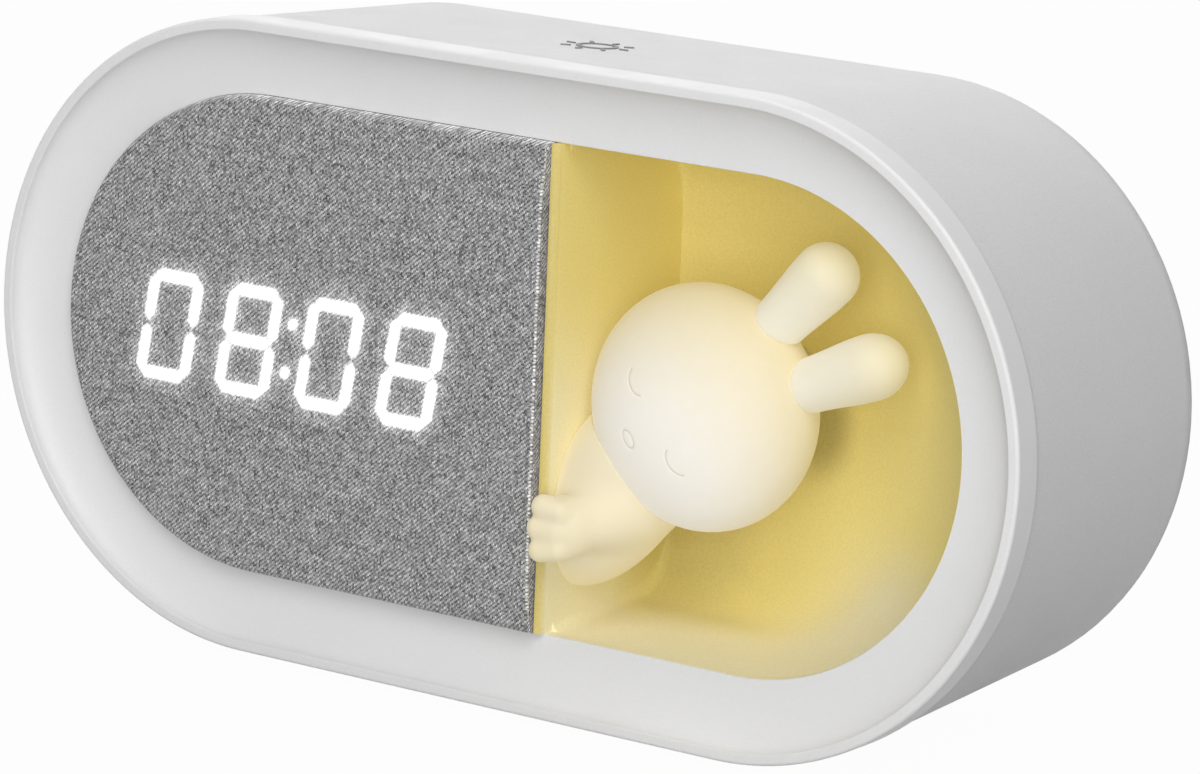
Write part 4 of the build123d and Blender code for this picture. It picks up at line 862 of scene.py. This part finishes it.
def ear(side_of_head):
    """A round bar from the head's edge: its radius runs smoothly from root to widest, then an elliptical tip.
    Its root row is where each line along the bar meets the head's ellipsoid."""
    root_radius, wide_radius, widest, reach = 3.35, 4.0, 9.3, 13.6 - 0.4 * side_of_head
    ear_depth, spread, splay, steps = 12.0, 15.9, 12.0, 24
    spot = np.radians(HEAD_TURN + side_of_head * spread)
    way = np.radians(HEAD_TURN + side_of_head * splay)
    origin = np.array([HEAD_X + HEAD_RADIUS * np.cos(spot), ear_depth, HEAD_Z + HEAD_RADIUS * np.sin(spot)])
    along = np.array([np.cos(way), 0.0, np.sin(way)])
    side, up = np.array([-np.sin(way), 0.0, np.cos(way)]), np.array([0.0, 1.0, 0.0])
    turn = np.linspace(0, 2 * np.pi, 96, endpoint=False)

    def radius_at(s):
        """The bar's radius at a length along it: a smooth step, then a quarter ellipse."""
        body = root_radius + (wide_radius - root_radius) * smooth_step(s / widest)
        end = wide_radius * np.sqrt(np.maximum(1 - ((s - widest) / (reach - widest)) ** 2, 0))
        return np.where(s > widest, end, body)

    def points_at(s, r):
        """Points of circles of radius r about the bar's middle line."""
        around = (r * np.cos(turn))[..., None] * side + (r * np.sin(turn))[..., None] * up
        return origin + s[..., None] * along + around

    low, high = np.full(turn.shape, -9.0), np.full(turn.shape, 5.0)
    for _ in range(steps):
        middle = (low + high) / 2
        off = (points_at(middle, radius_at(middle)) - HEAD_MIDDLE) / HEAD_HALVES
        inside = np.linalg.norm(off, axis=-1) < 1
        low, high = np.where(inside, middle, low), np.where(inside, high, middle)
    root = low - 0.25
    foot, bar = np.linspace(0, 0.12, 14, endpoint=False), np.linspace(0.12, 0.78, 40, endpoint=False)
    ease = np.concatenate([foot, bar, 0.78 + 0.22 * np.sin(np.linspace(0, np.pi / 2, 40))])
    s = root + ease[:, None] * (reach - 0.002 - root)
    tuck = 1 - 0.12 * np.exp(-(((s - root) / 0.55) ** 2))
    points = points_at(s, radius_at(s) * tuck)
    return capped_surface(place(points[..., 0], points[..., 1], points[..., 2]))


def ellipsoid_field(points, centre, axes, halves):
    """Roughly the distance outside an ellipsoid: (|q| - 1) |q| / |q / half|, with q in its half sizes."""
    local = np.stack([((points - centre) @ axis) / half for axis, half in zip(axes, halves)], -1)
    length = np.linalg.norm(local, axis=-1)
    slope = np.linalg.norm(local / np.array(halves), axis=-1)
    return length * (length - 1) / np.maximum(slope, 1e-6)


def finger_field(points, tip, root, tip_radius, root_radius):
    """Distance outside a round bar: distance to its line less a radius that runs evenly along it."""
    way = root - tip
    t = np.clip(((points - tip) @ way) / (way @ way), 0, 1)
    radius = tip_radius + t * (root_radius - tip_radius)
    return np.linalg.norm(points - tip - t[..., None] * way, axis=-1) - radius


def soft_union(a, b, blend_mm):
    """The lower of two fields, rounded over blend_mm where they meet."""
    h = np.clip(0.5 + 0.5 * (b - a) / blend_mm, 0, 1)
    return b * (1 - h) + a * h - blend_mm * h * (1 - h)


def lying_body():
    """Body, forearm, palm and toes: where rays from inside the arm first leave a softly joined field."""
    tilt, yaw, arm_lift, arm_turn = np.radians([58.0, 4.0, 55.0, 25.0])
    along = np.array([np.cos(tilt) * np.cos(yaw), np.sin(yaw), np.sin(tilt) * np.cos(yaw)])
    across = np.array([np.sin(tilt), 0.0, -np.cos(tilt)])
    body_axes = (along, across, np.cross(along, across))
    body_middle, body_halves = np.array([13.6, 11.1, -11.85]), (15.0, 8.25, 7.25)
    level = np.cos(arm_lift)
    arm_way = np.array([level * np.cos(arm_turn), np.sin(arm_lift), level * np.sin(arm_turn)])
    side = np.cross(arm_way, [0, 0, 1.0])
    side /= np.linalg.norm(side)
    arm_axes = (arm_way, side, np.cross(side, arm_way))
    paw_z = -15.9
    arm_middle, arm_halves = np.array([13.2, 2.975, paw_z]) + arm_way * 5.0, (9.5, 3.7, 3.7)
    palm_middle, palm_halves = np.array([12.0, 0.9, paw_z]), (3.2, 2.2, 3.8)
    toe_rows = zip((0.5, 0.15, 0.7), (-2.7, 0.0, 2.7))
    tips = [np.array([PANEL_EDGE + gap + 1.55, -0.75, paw_z + rise]) for gap, rise in toe_rows]
    toes = [(tip, tip + np.array([2.2, 0.25, (tip[2] - paw_z) * -0.12])) for tip in tips]
    tip_radius, root_radius, arm_blend, palm_blend, toe_blend = 1.5, 1.4, 2.2, 2.4, 0.8

    def field(p):
        """The joined pieces' distance, cut off at the panel's edge and where the head is."""
        value = ellipsoid_field(p, body_middle, body_axes, body_halves)
        value = soft_union(value, ellipsoid_field(p, arm_middle, arm_axes, arm_halves), arm_blend)
        value = soft_union(value, ellipsoid_field(p, palm_middle, np.eye(3), palm_halves), palm_blend)
        for tip, root in toes:
            value = soft_union(value, finger_field(p, tip, root, tip_radius, root_radius), toe_blend)
        head = ellipsoid_field(p, HEAD_MIDDLE, np.eye(3), HEAD_HALVES)
        value = np.maximum(value, PANEL_EDGE - p[..., 0])
        return np.maximum(value, -head + 0.02)

    rows, columns, ray_step, longest = 220, 280, 0.3, 26.0
    polar = np.linspace(0.003, np.pi - 0.003, rows)[:, None]
    turn = np.linspace(0, 2 * np.pi, columns, endpoint=False)[None, :]
    level = -np.cos(polar) + 0 * turn
    rays = np.stack([np.sin(polar) * np.cos(turn), level, np.sin(polar) * np.sin(turn)], -1)
    start = np.array([14.6, 5.2, -14.6])
    low = np.zeros((rows, columns))
    inside = np.ones((rows, columns), bool)
    for reach in np.arange(ray_step, longest, ray_step):
        inside &= field(start + rays * reach) < 0
        low[inside] = reach
    high = low + ray_step
    for _ in range(14):
        middle = (low + high) / 2
        within = field(start + rays * middle[..., None]) < 0
        low, high = np.where(within, middle, low), np.where(within, high, middle)
    points = start + rays * low[..., None]
    return capped_surface(place(points[..., 0], points[..., 1], points[..., 2]))


# painted light and shade: each heart is set where that piece looks brightest, with its edges darker
HEAD_SKIN = glowing_skin("glowing_head", skin=((0.68, 0.60, 0.42), (0.72, 0.69, 0.63)),
                         glow=((0.19, 0.165, 0.085), (0.28, 0.27, 0.245)),
                         centre=(23.0, 2.0, -8.0), reach_mm=25.0, face=True)
EAR_SKIN = glowing_skin("glowing_ears", skin=((0.62, 0.55, 0.37), (0.66, 0.62, 0.50)),
                        glow=((0.24, 0.22, 0.13), (0.27, 0.26, 0.22)), centre=(37.5, 8.0, 7.5), reach_mm=20.0)
BODY_SKIN = glowing_skin("glowing_body", skin=((0.66, 0.57, 0.36), (0.68, 0.61, 0.45)),
                         glow=((0.25, 0.22, 0.13), (0.20, 0.18, 0.12)),
                         centre=(13.0, 4.0, -12.0), reach_mm=18.0)

head = mesh_object("rabbit_head_shell", *head_shell(), smooth_angle=60)
finish(head, HEAD_SKIN, replaces=["rabbit_head"])
for ear_name, side_of_head in (("rabbit_ear_upper", 1), ("rabbit_ear_lower", -1)):
    ear_piece = mesh_object(ear_name + "_skin", *ear(side_of_head), smooth_angle=60)
    finish(ear_piece, EAR_SKIN, replaces=[ear_name])
body = mesh_object("rabbit_lying_body", *lying_body(), smooth_angle=50)
finish(body, BODY_SKIN, replaces=["rabbit_body", "rabbit_arm"])

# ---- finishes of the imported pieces

node_finishes = {
    "rear_housing": WHITE_SHELL,
    "display_carrier": moulded("black_moulding", (0.030, 0.030, 0.032), 0.55),
    "digit_bars": moulded("milky_light_bar", (0.85, 0.86, 0.87), 0.30, 0.4, 0.002),
    # painted light: the clear stem is tinted warm yellow to stand in for the niche's yellow light on its
    # shaded side
    "light_stem": moulded("clear_stem", (0.80, 0.73, 0.46), 0.20, 0.6, 0.002),
    "display_board": circuit_board("circuit_board"),
    "display_leds": moulded("lamp_package", (0.80, 0.76, 0.45), 0.30),
    "main_chips": moulded("black_package", (0.022, 0.022, 0.024), 0.45, 0.15),
    "usb_socket": brushed("plated_shell", (0.62, 0.62, 0.63), 0.22),
    "ribbon_connectors": moulded("white_connector", (0.78, 0.76, 0.70), 0.45),
    "display_ribbon": moulded("ribbon_film", (0.62, 0.62, 0.60), 0.40),
    "mode_button": moulded("grey_button", (0.50, 0.505, 0.51), 0.45, 0.25, 0.004, 0.03),
    "alarm_slider": moulded("dark_knob", (0.09, 0.09, 0.095), 0.50),
    "speaker_frame": moulded("speaker_steel", (0.05, 0.05, 0.05), 0.40, 0.4, 0.004),
    "speaker_cone": moulded("speaker_paper", (0.035, 0.035, 0.035), 0.85, 0.5, 0.02, 0.12),
    "battery_pack": brushed("cell_foil", (0.60, 0.61, 0.63), 0.34),
    "battery_tape": moulded("foam_tape", (0.72, 0.72, 0.68), 0.90, 0.6, 0.03),
    "touch_foil": brushed("contact_metal", (0.72, 0.52, 0.25), 0.30),
    "touch_mark": moulded("raised_print", (0.22, 0.22, 0.225), 0.60, 0.3, 0.002, 0.10),
    "case_screws": brushed("screw_steel", (0.45, 0.45, 0.46), 0.30, (1.0, 8.0, 1.0)),
    "rubber_feet": moulded("foot_rubber", (0.20, 0.20, 0.205), 0.88, 0.4, 0.01, 0.08),
}
slots = {entry["node"]: entry["material_slot"] for entry in frame["record"]["subparts"]}
finish_of_slot = {slots[node]: material for node, material in node_finishes.items()}
replaced = {"front_bezel", "fabric_cover", "niche_liner", "rabbit_head", "rabbit_ear_upper",
            "rabbit_ear_lower", "rabbit_body", "rabbit_arm"}
for node_name, node in frame["nodes"].items():
    if node_name in replaced:
        continue
    node.data.materials.clear()
    node.data.materials.append(finish_of_slot[slots[node_name]])
